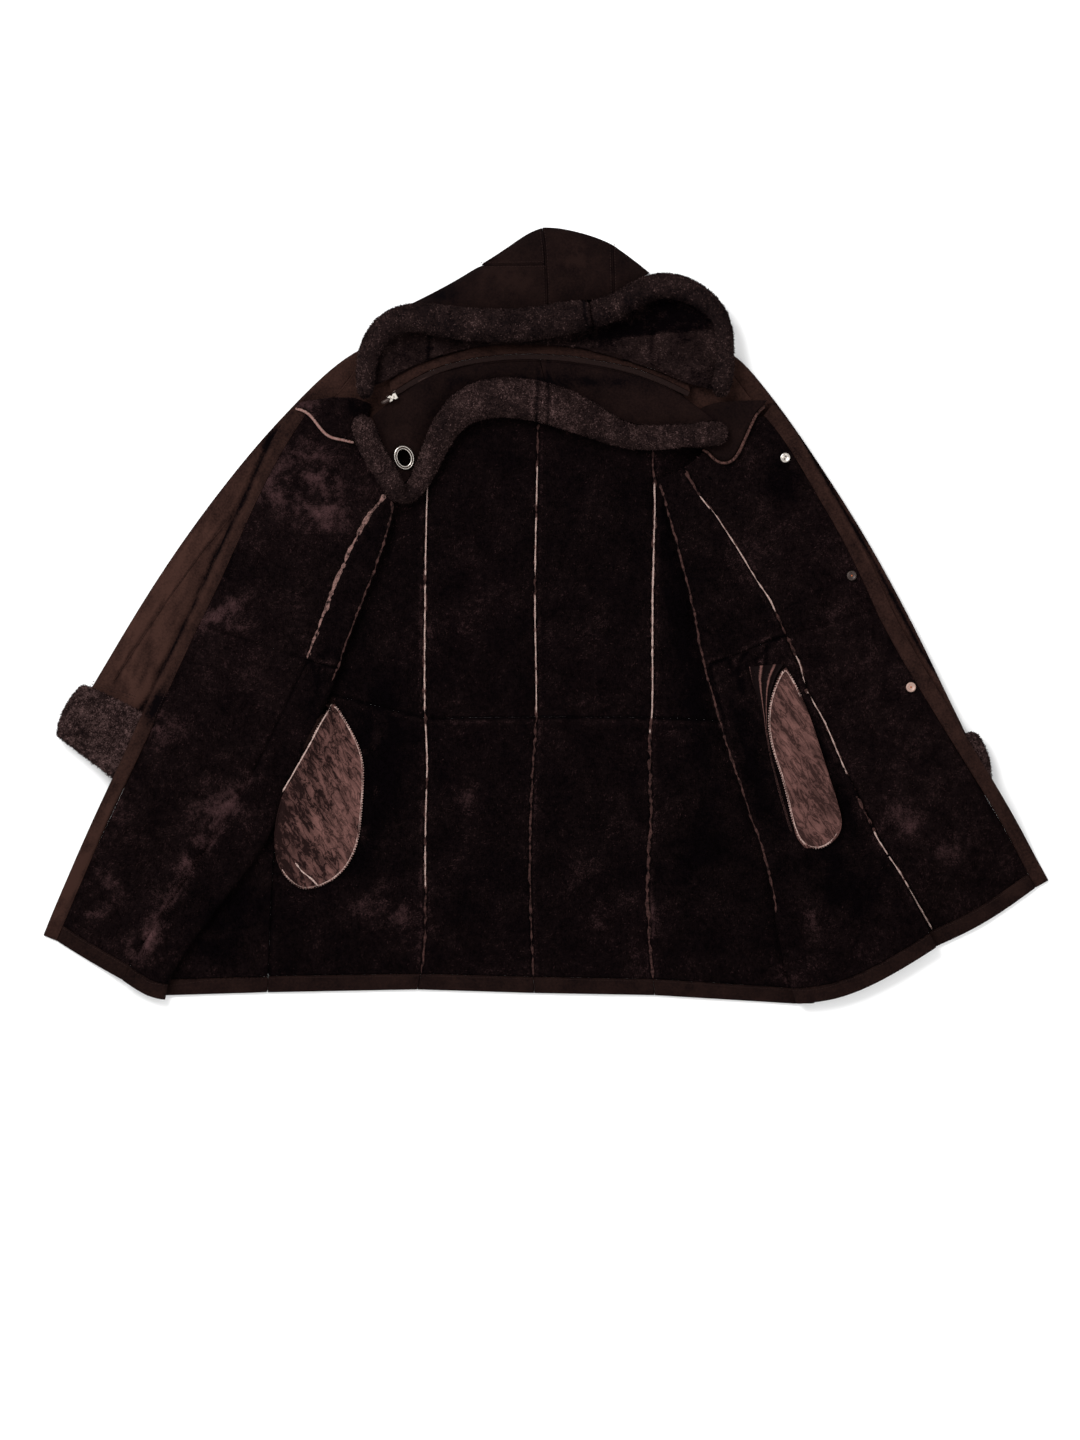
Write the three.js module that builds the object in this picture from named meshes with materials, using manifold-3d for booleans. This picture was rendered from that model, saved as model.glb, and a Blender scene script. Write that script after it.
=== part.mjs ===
// A hooded sheepskin coat, laid open on its back with the wool side up.
//
// +X is to the right, +Y towards the hood, +Z up from the surface it lies on. Millimetres.
// The tables below use a lay frame: x = 0 on the centre back seam, y = 0 at the centre back hem.
// The finished group is moved so that its origin is the middle of its footprint, on the floor.
// "left" is the -X side and "right" the +X side.
//
// Each piece of skin is a wall: its outline comes from two seam lines, and its height from
// whatever already lies under it, so the panels rest on each other as layers of cloth do.

import * as THREE from "three";
import Module from "manifold-3d";
import { mergeVertices } from "three/addons/utils/BufferGeometryUtils.js";

// ---------------------------------------------------------------- driving sizes, mm

const PILE_WALL = 9; // skin with its sheared wool
const HEM_WALL = 7; // skin turned over at an edge, suede out
const SLEEVE_HALF = 8.9; // one wall of a flat sleeve, wool inside and pressed together
const CUFF_HALF = 18.4; // half the height of a turned-back cuff round its sleeve
const COLLAR_WALL = 10; // suede out, wool in
const BAG_WALL = 4; // pocket bag, two thin skins
const SEAM_GAP = 0.3; // between sewn pieces
const REST_GAP = 0.35; // between a piece and what it lies on
const SEAM_SHOULDER = 8; // width over which the wool rounds down to a seam
const SEAM_DIP = 3.2; // how far it rounds down
const FRONT_BAND = 21; // suede band along each front edge
const HEM_BAND = 23; // suede band along the hem
const PLEAT_GAP = 0.9; // between the layers of a folded side panel
const ZIP_WIDTH = 7;
const ZIP_RISE = 3;
const PIPING_RADIUS = 2.2;
const FLOOR = 0;

// ---------------------------------------------------------------- seam and edge lines
// Columns: x, y. Rows run from the hem upwards. "lower" is hem to waist seam, "upper" waist to top.

const SEAMS = {
  left: {
    edge: {
      lower: [[-693, 80], [-668, 141], [-626, 234], [-594, 298], [-561, 368], [-526, 449], [-491, 525]],
      upper: [[-491, 525], [-458, 592], [-424, 671], [-393, 735], [-364, 789], [-339, 822]],
    },
    front: {
      lower: [[-580, 18], [-556, 60], [-500, 144], [-451, 214], [-407, 286], [-367, 368], [-322, 466]],
      upper: [[-322, 466], [-286, 561], [-258, 626], [-232, 673], [-204, 704]],
    },
    fold: {
      lower: [[-519, -10], [-505, 48], [-473, 85], [-435, 132], [-371, 220], [-328, 312], [-276, 456]],
      upper: [[-276, 456], [-245, 540], [-221, 599], [-207, 640], [-196, 690]],
    },
    inner: {
      lower: [[-549, -5], [-542, 48], [-521, 95], [-500, 140], [-462, 220], [-423, 312], [-379, 456]],
      upper: [[-379, 456], [-345, 520], [-298, 570], [-252, 608], [-212, 648]],
    },
    side: {
      lower: [[-378, 0], [-372, 158], [-367, 220], [-343, 312], [-307, 424]],
      upper: [[-307, 424], [-269, 535], [-234, 606], [-212, 680]],
    },
    princess: {
      lower: [[-168, 4], [-158, 53], [-157, 206], [-154, 354], [-157, 385]],
      upper: [[-157, 385], [-157, 550], [-154, 704], [-146, 868]],
    },
  },
  right: {
    edge: {
      lower: [[718, 157], [661, 260], [627, 314], [605, 349], [560, 424], [510, 508], [493, 545]],
      upper: [[493, 545], [479, 577], [445, 648], [414, 699], [374, 770], [340, 815], [329, 824]],
    },
    front: {
      lower: [[559, 64], [521, 144], [483, 207], [440, 294], [405, 365], [377, 427], [347, 500]],
      upper: [[347, 500], [319, 560], [286, 610], [248, 672], [206, 734]],
    },
    fold: {
      lower: [[361, -15], [333, 91], [330, 148], [308, 211], [284, 288], [256, 365], [231, 459]],
      upper: [[231, 459], [210, 561], [186, 655], [166, 727]],
    },
    inner: {
      lower: [[391, -15], [375, 91], [385, 148], [385, 211], [375, 288], [354, 365], [323, 459]],
      upper: [[323, 459], [276, 550], [226, 618], [184, 658]],
    },
    side: {
      lower: [[364, -16], [337, 91], [335, 148], [315, 211], [291, 288], [262, 382]],
      upper: [[262, 382], [235, 468], [214, 550], [192, 640], [180, 692]],
    },
    princess: {
      lower: [[165, -4], [154, 130], [160, 245], [158, 371], [161, 386]],
      upper: [[161, 386], [162, 550], [165, 711], [152, 868]],
    },
  },
  centreBack: {
    lower: [[-4, -1], [-10, 148], [-7, 294], [-1, 386]],
    upper: [[-1, 386], [-3, 550], [0, 718], [4, 880]],
  },
};

// Stations on a seam line: -1 at the hem, 0 at the top of the hem band, 1 at the waist, 2 at the top.
const HEM_ROWS = [-1, -0.5, 0];
const LOWER_ROWS = [0, 0.03, 0.17, 0.34, 0.5, 0.66, 0.83, 0.97, 1];
const UPPER_ROWS = [1, 1.03, 1.2, 1.4, 1.6, 1.8, 1.97, 2];
const BACK_ROWS = [1, 1.03, 1.13, 1.25, 1.37, 1.49, 1.61, 1.66, 1.72, 1.79, 1.86, 1.96, 2];

// How far the hem sags below a straight line between its corners.
const HEM_SAG = { front_left: 2, side_left: 4, front_right: 7, side_right: 17 };

// Armholes, straight between five equal shares, from the shoulder point round to the armpit.
const ARMHOLES = {
  left: [[-213, 915], [-262, 863], [-292, 822], [-302, 772], [-276, 716], [-212, 680]],
  right: [[245, 905], [281, 856], [305, 825], [314, 772], [276, 720], [180, 692]],
};
const NECK_POINTS = {
  left: [[-150, 866], [-160, 852], [-172, 830], [-184, 800], [-194, 776]],
  right: [[156, 866], [168, 852], [184, 830], [200, 800], [212, 778]],
};

// Sleeves: the two long edges of the flattened tube, from armhole to wrist.
const SLEEVES = {
  left: {
    outer: [[-213, 915], [-249, 903], [-286, 878], [-343, 822], [-395, 766], [-440, 710], [-482, 654],
      [-521, 598], [-556, 542], [-589, 486], [-612, 447], [-628, 420], [-646, 390], [-661, 361]],
    inner: [[-212, 680], [-240, 650], [-296, 600], [-372, 534], [-432, 454], [-480, 396], [-511, 355],
      [-532, 307], [-547, 270]],
  },
  right: {
    outer: [[245, 905], [268, 904], [294, 878], [340, 822], [379, 766], [416, 710], [452, 654],
      [484, 598], [514, 542], [542, 486], [568, 430], [588, 388], [604, 358], [617, 330], [623, 308],
      [622, 288]],
    inner: [[180, 692], [228, 662], [305, 578], [377, 468], [435, 372], [466, 322], [484, 288],
      [499, 240], [510, 198]],
  },
};
const SLEEVE_ROWS = [0, 0.05, 0.12, 0.21, 0.32, 0.44, 0.56, 0.67, 0.76, 0.84, 0.92, 1];

// Turned-back cuffs: near edge to the elbow, far edge at the wrist.
const CUFFS = {
  left: {
    outer: [[-637, 431], [-656, 413], [-668, 388], [-673, 362]],
    inner: [[-497, 352], [-518, 306], [-538, 260]],
  },
  right: {
    outer: [[612, 366], [629, 352], [636, 328], [637, 304], [634, 284]],
    inner: [[472, 287], [488, 236], [500, 190]],
  },
};

// Sections of half a flat tube. Columns: way in and rise of the outer face, then of the inner face.
const SLEEVE_SECTION = [[0, 0.3, 1.6, 0], [1.2, 4.6, 3, 0], [4.2, 7.3, 6, 0], [10.5, 8.9, 10.5, 0]];
const CUFF_SECTION = [[0, 0.3, 9, 0], [1.8, 9.6, 9.3, 5], [7, 15.4, 11, 8.6], [17, 18.4, 17, 9.6]];
const ACROSS = [0.2, 0.4, 0.6, 0.8];

// Collar, hood and zip lines, from left to right.
const ZIP_LINE = [[-200, 833], [-164, 857], [-126, 873], [-88, 882], [-32, 888], [24, 887], [80, 880],
  [137, 867], [174, 853], [211, 834]];
const NECKBAND_TOP = [[-207, 856], [-186, 872], [-141, 890], [-108, 902], [-50, 910], [6, 909], [62, 904],
  [99, 894], [137, 882], [174, 868], [213, 850]];
const HOOD_BACK_ENDS = [[-238, 846], [254, 842]];
const HOOD_BACK_TOP = [[-236, 900], [-214, 922], [-164, 956], [-104, 990], [-48, 1028], [8, 1058], [52, 1054],
  [94, 1038], [130, 1012], [150, 992], [186, 986], [226, 972], [250, 950], [258, 934]];
// Columns: x, y, half width of the fur roll.
const COLLAR_ROLL = [[-249, 806, 15], [-241, 788, 17], [-230, 758, 16], [-209, 724, 16], [-199, 706, 15],
  [-191, 698, 14], [-181, 697, 14], [-172, 705, 14], [-161, 722, 15], [-143, 762, 17], [-126, 795, 20],
  [-105, 817, 24], [-77, 830, 27], [-36, 833, 28], [1, 828, 28], [43, 815, 27], [80, 799, 23],
  [118, 781, 18], [155, 777, 17], [211, 779, 16], [245, 781, 18], [265, 782, 20]];
const HOOD_RIM = [[-239, 831, 12], [-239, 864, 13], [-234, 897, 15], [-219, 924, 17], [-194, 941, 19],
  [-166, 944, 20], [-126, 938, 22], [-70, 933, 23], [-14, 934, 23], [24, 940, 23], [56, 946, 22],
  [84, 950, 20], [112, 961, 17], [137, 976, 17], [160, 988, 18], [185, 990, 18], [212, 983, 17],
  [236, 968, 15], [253, 950, 13], [261, 930, 12], [263, 900, 12], [261, 866, 13], [255, 834, 14]];
const RIM_SEAM = [76, 948]; // where the two rim rolls meet
const CROWN_OUTLINE = [[-186, 962], [-150, 980], [-108, 1003], [-50, 1040], [-6, 1069], [13, 1074],
  [55, 1068], [99, 1053], [129, 1033], [158, 1010]];
// Crown seams: where each leaves the outline and where it meets the rim.
const CROWN_SEAMS = { start: [[-186, 962], [-168, 965]], centre: [[8, 1073], [14, 965]],
  right: [[106, 1050], [106, 980]], end: [[158, 1010], [150, 1004]] };
const YOKE_SEAM = [[-78, 1021], [-40, 1020], [10.8, 1020]]; // across the crown's left side
const HOOD_PUFF = 20; // the crown stands off the hood's back by this much

// Front corners turned up at the neck.
const LAPELS = {
  left: {
    near: [[-337, 820], [-325, 817], [-313, 808], [-302, 793], [-289, 780], [-270, 776], [-246, 770]],
    far: [[-337, 824], [-320, 829], [-303, 831], [-290, 833], [-272, 833], [-253, 832], [-232, 824]],
  },
  right: {
    near: [[222, 762], [238, 761], [252, 746], [266, 743], [275, 750], [282, 762], [294, 789], [306, 813],
      [318, 824]],
    far: [[212, 806], [228, 818], [242, 824], [256, 827], [268, 828], [280, 828.5], [296, 829], [310, 829],
      [322, 829]],
  },
};

// Pocket bags hanging inside the side panels, from the bottom of the bag up.
const POCKETS = {
  left: {
    near: [[-331, 146], [-349, 156], [-363, 176], [-368, 205], [-365, 244], [-354, 284], [-334, 318],
      [-314, 356], [-301, 384], [-289, 402]],
    far: [[-316, 146], [-290, 154], [-266, 176], [-252, 206], [-247, 246], [-244, 288], [-244, 328],
      [-252, 352], [-268, 380], [-283, 405]],
  },
  right: {
    near: [[374, 203], [362, 216], [356, 248], [344, 298], [330, 340], [323, 378], [328, 416], [341, 450]],
    far: [[396, 203], [420, 214], [428, 238], [420, 266], [400, 330], [377, 400], [358, 438], [348, 456]],
  },
};

// Soft folds in the fronts. Columns: from x, y; to x, y; rise; reach to each side.
const FOLDS = [
  [-395, 290, -560, 55, 9, 26],
  [-330, 700, -470, 500, 4, 22],
  [-300, 380, -420, 120, 5, 22],
  [470, 300, 610, 120, 5, 30],
  [300, 640, 400, 440, 4, 20],
  [420, 620, 480, 460, 3, 24],
];

const SNAPS = [[347, 749], [440, 584], [522, 428]]; // press studs on the right front
const SNAP_RADIUS = 7;
const SNAP_RISE = 3.2;
const EYELET = { x: -186, y: 749, halfWidth: 8.6, halfLength: 11.6, turn: 0.3, wire: 2.9 };
const SLIDER = { x: -202, y: 832, length: 14, width: 10, rise: 5, turn: 0.6 };

// ---------------------------------------------------------------- materials

const skin = (color, roughness, metalness = 0) =>
  new THREE.MeshStandardMaterial({ color, roughness, metalness });
const MATERIALS = {
  wool: skin(0x1d1314, 1),
  trim: skin(0x33262a, 1),
  suede: skin(0x2a1c19, 0.95),
  bag: skin(0x4a3331, 0.85),
  piping: skin(0x6a5a58, 0.6),
  zip: skin(0x4a3a3a, 0.6),
  metal: skin(0xb8b2a8, 0.3, 1),
  stud: skin(0x8d7f79, 0.45, 0.6),
};

// ---------------------------------------------------------------- the pile of layers so far

const CELL = 5;
const MAP = { x0: -730, y0: -60, nx: 298, ny: 242 };
const heights = new Float32Array(MAP.nx * MAP.ny);
const triangles = new Map(); // the pile's triangles by the cell they lie over

const clamp = (v, lo, hi) => Math.min(hi, Math.max(lo, v));
const mix = (a, b, t) => a + (b - a) * t;
const smooth = (t) => {
  const c = clamp(t, 0, 1);
  return c * c * (3 - 2 * c);
};

// Reads a height field between its cells.
function read(field, x, y) {
  const fx = clamp((x - MAP.x0) / CELL, 0, MAP.nx - 1.001);
  const fy = clamp((y - MAP.y0) / CELL, 0, MAP.ny - 1.001);
  const [i, j] = [Math.floor(fx), Math.floor(fy)];
  const at = (p, q) => field[q * MAP.nx + p];
  return mix(mix(at(i, j), at(i + 1, j), fx - i), mix(at(i, j + 1), at(i + 1, j + 1), fx - i), fy - j);
}

// One pass of a filter along rows, then along columns.
function filtered(field, reach, pick) {
  let from = field;
  for (const [step, span, lines, jump] of [[1, MAP.nx, MAP.ny, MAP.nx], [MAP.nx, MAP.ny, MAP.nx, 1]]) {
    const to = new Float32Array(from.length);
    for (let l = 0; l < lines; l++)
      for (let k = 0; k < span; k++) {
        const near = [];
        for (let m = Math.max(0, k - reach); m <= Math.min(span - 1, k + reach); m++)
          near.push(from[l * jump + m * step]);
        to[l * jump + k * step] = pick(near);
      }
    from = to;
  }
  return from;
}
const highest = (near) => near.reduce((a, b) => Math.max(a, b), 0);
const average = (near) => near.reduce((a, b) => a + b, 0) / near.length;

// The surface that skin of this stiffness takes when it is laid over the pile: never below it.
function drape(reachMm) {
  const cells = Math.max(2, Math.round(reachMm / CELL));
  const half = Math.floor(cells / 2);
  const field = filtered(filtered(filtered(heights, cells, highest), half, average), half, average);
  return (x, y) => read(field, x, y);
}

// The pile's exact height at a place, zero where nothing lies yet.
function groundAt(x, y) {
  const key = Math.floor((y - MAP.y0) / CELL) * MAP.nx + Math.floor((x - MAP.x0) / CELL);
  let top = 0;
  for (const [a, b, c, area] of triangles.get(key) ?? []) {
    const wb = ((x - a[0]) * (c[1] - a[1]) - (c[0] - a[0]) * (y - a[1])) / area;
    const wc = ((b[0] - a[0]) * (y - a[1]) - (x - a[0]) * (b[1] - a[1])) / area;
    if (wb >= -1e-6 && wc >= -1e-6 && wb + wc <= 1 + 1e-6)
      top = Math.max(top, a[2] + (b[2] - a[2]) * wb + (c[2] - a[2]) * wc);
  }
  return top;
}

// Adds a finished solid to the pile.
function addToPile(geometry) {
  const p = geometry.getAttribute("position");
  const index = geometry.index;
  for (let t = 0; t < index.count; t += 3) {
    const [a, b, c] = [0, 1, 2].map((k) => {
      const n = index.getX(t + k);
      return [p.getX(n), p.getY(n), p.getZ(n)];
    });
    const area = (b[0] - a[0]) * (c[1] - a[1]) - (c[0] - a[0]) * (b[1] - a[1]);
    const iMin = Math.ceil((Math.min(a[0], b[0], c[0]) - MAP.x0) / CELL);
    const iMax = Math.floor((Math.max(a[0], b[0], c[0]) - MAP.x0) / CELL);
    const jMin = Math.ceil((Math.min(a[1], b[1], c[1]) - MAP.y0) / CELL);
    const jMax = Math.floor((Math.max(a[1], b[1], c[1]) - MAP.y0) / CELL);
    for (const [x, y, z] of [a, b, c]) {
      const [i, j] = [Math.floor((x - MAP.x0) / CELL), Math.floor((y - MAP.y0) / CELL)];
      for (const cell of [j * MAP.nx + i, j * MAP.nx + i + 1, (j + 1) * MAP.nx + i, (j + 1) * MAP.nx + i + 1])
        heights[cell] = Math.max(heights[cell], z);
    }
    if (Math.abs(area) < 1e-6) continue;
    for (let j = jMin - 1; j <= jMax; j++)
      for (let i = iMin - 1; i <= iMax; i++) {
        const key = j * MAP.nx + i;
        if (!triangles.has(key)) triangles.set(key, []);
        triangles.get(key).push([a, b, c, area]);
      }
    for (let j = jMin; j <= jMax; j++)
      for (let i = iMin; i <= iMax; i++) {
        const [x, y] = [MAP.x0 + i * CELL, MAP.y0 + j * CELL];
        const wb = ((x - a[0]) * (c[1] - a[1]) - (c[0] - a[0]) * (y - a[1])) / area;
        const wc = ((b[0] - a[0]) * (y - a[1]) - (x - a[0]) * (b[1] - a[1])) / area;
        if (wb < -1e-6 || wc < -1e-6 || wb + wc > 1 + 1e-6) continue;
        const z = a[2] + (b[2] - a[2]) * wb + (c[2] - a[2]) * wc;
        const cell = j * MAP.nx + i;
        heights[cell] = Math.max(heights[cell], z);
      }
  }
}

// ---------------------------------------------------------------- lines and grids

const vector = ([x, y, z = 0]) => new THREE.Vector3(x, y, z);
const curveOf = (rows) => new THREE.CatmullRomCurve3(rows.map(vector), false, "centripetal");
const shares = (n) => Array.from({ length: n + 1 }, (_, k) => k / n);
const along = (curve, n, from = 0, to = 1) => shares(n).map((t) => curve.getPointAt(mix(from, to, t)));

// The share of a curve that lies nearest a point.
function shareNear(curve, [x, y]) {
  const far = (t) => {
    const p = curve.getPointAt(t);
    return Math.hypot(p.x - x, p.y - y);
  };
  return shares(500).reduce((best, t) => (far(t) < far(best) ? t : best), 0);
}

// Points moved sideways by a distance: positive to the left of their run.
function offsetPoints(points, distance) {
  return points.map((p, n) => {
    const [a, b] = [points[Math.max(0, n - 1)], points[Math.min(points.length - 1, n + 1)]];
    const length = Math.hypot(b.x - a.x, b.y - a.y);
    const away = typeof distance === "function" ? distance(p) : distance;
    return new THREE.Vector3(p.x - ((b.y - a.y) / length) * away, p.y + ((b.x - a.x) / length) * away, p.z);
  });
}

// Points at equal shares of a run of straight lines.
function onPolyline(points, share) {
  const at = clamp(share, 0, 1) * (points.length - 1);
  const n = Math.min(points.length - 2, Math.floor(at));
  return points[n].clone().lerp(points[n + 1], at - n);
}

// A seam line, read at its stations.
function seamLine({ lower, upper }) {
  const curve = curveOf([...lower, ...upper.slice(1)]);
  const waist = shareNear(curve, upper[0]);
  const hem = HEM_BAND / curve.getLength();
  const share = (s) => (s < 0 ? hem * (1 + s) : s < 1 ? mix(hem, waist, s) : mix(waist, 1, s - 1));
  return (rows) => rows.map((s) => curve.getPointAt(clamp(share(s), 0, 1)));
}
const LINES = Object.fromEntries(["left", "right"].map((side) => [side,
  Object.fromEntries(Object.entries(SEAMS[side]).map(([name, table]) => [name, seamLine(table)]))]));
LINES.centreBack = seamLine(SEAMS.centreBack);
for (const side of ["left", "right"]) {
  const edge = LINES[side].edge;
  const nearby = (s) => [Math.max(-1, s - 0.02), s, Math.min(2, s + 0.02)];
  LINES[side].band = (rows) =>
    rows.map((s) => offsetPoints(edge(nearby(s)), side === "left" ? -FRONT_BAND : FRONT_BAND)[1]);
}

// Shares of a width: narrow strips inside each edge, even steps between them.
function spread(count, size, strips) {
  const near = strips.map((w) => Math.min(0.22, w / size));
  const last = near[near.length - 1];
  const steps = count - 1 - 2 * near.length;
  return [0, ...near.slice(0, -1), ...shares(steps).map((t) => mix(last, 1 - last, t)),
    ...near.slice(0, -1).reverse().map((w) => 1 - w), 1];
}

// A grid of places between two rows of points, a seam gap clear of its neighbours all round.
function patch(a, b, cols, options = {}) {
  const { strips = [SEAM_SHOULDER], bow = null } = options;
  const last = a.length - 1;
  const trimmed = (points) =>
    points.map((p, j) => {
      if (j > 0 && j < last) return p;
      const inward = points[j ? last - 1 : 1].clone().sub(p).setZ(0);
      return p.clone().addScaledVector(inward.normalize(), SEAM_GAP / 2);
    });
  const [left, right] = [trimmed(a), trimmed(b)];
  const middle = Math.floor(last / 2);
  const width = left[middle].distanceTo(right[middle]);
  return spread(cols, width, strips).map((u) =>
    left.map((p, j) => {
      const q = right[j];
      const across = p.distanceTo(q);
      const inset = Math.min(0.3, SEAM_GAP / 2 / across);
      const place = p.clone().lerp(q, mix(inset, 1 - inset, u));
      const ends = [0, last].map((k) => left[k].clone().lerp(right[k], u).distanceTo(p.clone().lerp(q, u)));
      if (bow) place.add(bow(u, j));
      return { x: place.x, y: place.y, u, j, du: Math.min(u, 1 - u) * across, dv: Math.min(...ends) };
    }),
  );
}

// ---------------------------------------------------------------- solids

// A closed wall from two grids of points, one for each face.
function wallGeometry(upper, lower) {
  const [ni, nj] = [upper.length, upper[0].length];
  const points = [...upper.flat(), ...lower.flat()];
  const top = (i, j) => i * nj + j;
  const under = (i, j) => ni * nj + i * nj + j;
  const faces = [];
  const quad = (a, b, c, d) => faces.push(a, b, c, a, c, d);
  for (let i = 0; i + 1 < ni; i++)
    for (let j = 0; j + 1 < nj; j++) {
      quad(top(i, j), top(i + 1, j), top(i + 1, j + 1), top(i, j + 1));
      quad(under(i, j), under(i, j + 1), under(i + 1, j + 1), under(i + 1, j));
    }
  for (let i = 0; i + 1 < ni; i++) {
    quad(under(i, 0), under(i + 1, 0), top(i + 1, 0), top(i, 0));
    quad(top(i, nj - 1), top(i + 1, nj - 1), under(i + 1, nj - 1), under(i, nj - 1));
  }
  for (let j = 0; j + 1 < nj; j++) {
    quad(under(0, j + 1), under(0, j), top(0, j), top(0, j + 1));
    quad(under(ni - 1, j), under(ni - 1, j + 1), top(ni - 1, j + 1), top(ni - 1, j));
  }
  return closed(points, faces);
}

// An indexed geometry whose faces point out.
function closed(points, faces) {
  let volume = 0;
  for (let t = 0; t < faces.length; t += 3) {
    const [a, b, c] = [points[faces[t]], points[faces[t + 1]], points[faces[t + 2]]];
    volume += a[0] * (b[1] * c[2] - b[2] * c[1]) - a[1] * (b[0] * c[2] - b[2] * c[0])
      + a[2] * (b[0] * c[1] - b[1] * c[0]);
  }
  if (volume < 0)
    for (let t = 0; t < faces.length; t += 3) [faces[t + 1], faces[t + 2]] = [faces[t + 2], faces[t + 1]];
  const geometry = new THREE.BufferGeometry();
  geometry.setAttribute("position", new THREE.Float32BufferAttribute(points.flat(), 3));
  geometry.setIndex(faces);
  return geometry;
}

// Pieces of one layer lie side by side, so they join the pile together when the layer is settled.
const coat = new THREE.Group();
let layer = [];
function add(name, geometry, material) {
  const mesh = new THREE.Mesh(geometry, material);
  mesh.name = name;
  coat.add(mesh);
  layer.push(geometry);
  return mesh;
}
function settle() {
  layer.forEach(addToPile);
  layer = [];
}

// Lifts the base heights of a grid until no triangle of it dips into the pile.
function clearOfPile(grid, base) {
  const safe = filtered(heights, 1, highest);
  const steps = 12;
  for (let pass = 0; pass < 3; pass++)
    for (let i = 0; i + 1 < grid.length; i++)
      for (let j = 0; j + 1 < grid[0].length; j++)
        for (const corners of [[[i, j], [i + 1, j], [i + 1, j + 1]], [[i, j], [i + 1, j + 1], [i, j + 1]]]) {
          let short = 0;
          for (let a = 0; a <= steps; a++)
            for (let b = 0; a + b <= steps; b++) {
              const w = [a / steps, b / steps, 1 - (a + b) / steps];
              const sum = (get) => corners.reduce((s, [p, q], k) => s + w[k] * get(p, q), 0);
              const x = sum((p, q) => grid[p][q].x);
              const y = sum((p, q) => grid[p][q].y);
              const ground = read(safe, x, y);
              if (ground > 0.01) short = Math.max(short, ground + REST_GAP - sum((p, q) => base[p][q]));
            }
          if (short > 0) for (const [p, q] of corners) base[p][q] += short;
        }
}

// Lowers a grid that hangs over the pile until it touches, but not into the floor.
function rest(grid, base) {
  let spare = Infinity;
  for (let i = 0; i + 1 < grid.length; i++)
    for (let j = 0; j + 1 < grid[0].length; j++)
      for (const [u, v] of shares(5).flatMap((a) => shares(5).map((b) => [a, b]))) {
        const at = (get) =>
          mix(mix(get(i, j), get(i + 1, j), u), mix(get(i, j + 1), get(i + 1, j + 1), u), v);
        const ground = groundAt(at((p, q) => grid[p][q].x), at((p, q) => grid[p][q].y));
        if (ground > 0.01) spare = Math.min(spare, at((p, q) => base[p][q]) - ground - REST_GAP);
      }
  const drop = spare - 0.15;
  if (drop > 0.2 && drop < Infinity)
    for (const line of base)
      line.forEach((z, j) => (line[j] = Math.max(Math.min(z, FLOOR + 0.05), z - drop)));
}

// The soft folds' lift at a place.
function foldLift(x, y) {
  return FOLDS.reduce((sum, [x1, y1, x2, y2, rise, reach]) => {
    const [dx, dy] = [x2 - x1, y2 - y1];
    const t = clamp(((x - x1) * dx + (y - y1) * dy) / (dx * dx + dy * dy), 0, 1);
    const away = Math.hypot(x - x1 - t * dx, y - y1 - t * dy);
    return sum + rise * Math.exp(-((away / reach) ** 2));
  }, 0);
}

// How thick a panel is at a place: full inside, rounded down towards its seams.
const rounded = (wall, dip = SEAM_DIP) => (g) =>
  wall - dip * (1 - smooth(Math.min(g.du, g.dv) / SEAM_SHOULDER));
const even = (wall) => () => wall;

// A wall laid on the pile. lift raises it off what it lies on.
function laid(grid, thickness, surface, lift = null) {
  const base = grid.map((line) =>
    line.map((g) => {
      const ground = surface(g.x, g.y);
      return (ground > 0.01 ? ground + REST_GAP : FLOOR) + (lift ? lift(g) : 0);
    }));
  clearOfPile(grid, base);
  rest(grid, base);
  const lower = grid.map((line, i) => line.map((g, j) => [g.x, g.y, base[i][j]]));
  const upper = grid.map((line, i) => line.map((g, j) => [g.x, g.y, base[i][j] + thickness(g)]));
  return wallGeometry(upper, lower);
}

// Places along a line whose third column is the half width of a roll, closer in its bends.
function ringsAlong(curve, options = {}) {
  const { from = 0, to = 1, spacing = 21, ends = [true, true] } = options;
  const length = curve.getLength();
  const stops = [from];
  while (stops[stops.length - 1] < to) {
    const t = stops[stops.length - 1];
    const near = Math.min(1, t + spacing / length);
    const turn = curve.getTangentAt(t).angleTo(curve.getTangentAt(near));
    stops.push(t + (spacing / length) * clamp(0.5 / Math.max(turn, 0.01), 0.35, 1));
  }
  stops.pop();
  if (to - stops[stops.length - 1] < (0.5 * spacing) / length) stops.pop();
  stops.push(to);
  const rounding = (t) => {
    const cap = curve.getPointAt(t).z;
    const run = Math.min(ends[0] ? t - from : 1, ends[1] ? to - t : 1) * length;
    return run < cap ? Math.max(0.28, Math.sqrt(1 - (1 - run / cap) ** 2)) : 1;
  };
  const cap = curve.getPointAt(from).z / length;
  const capEnd = curve.getPointAt(to).z / length;
  if (ends[0]) stops.splice(1, 0, from + 0.14 * cap, from + 0.5 * cap);
  if (ends[1]) stops.splice(stops.length - 1, 0, to - 0.5 * capEnd, to - 0.14 * capEnd);
  const sorted = [...new Set(stops)].sort((a, b) => a - b);
  return sorted.map((t) => {
    const p = curve.getPointAt(t);
    const d = curve.getTangentAt(t);
    const flat = Math.hypot(d.x, d.y);
    return { x: p.x, y: p.y, half: p.z * rounding(t), nx: -d.y / flat, ny: d.x / flat };
  });
}

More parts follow.
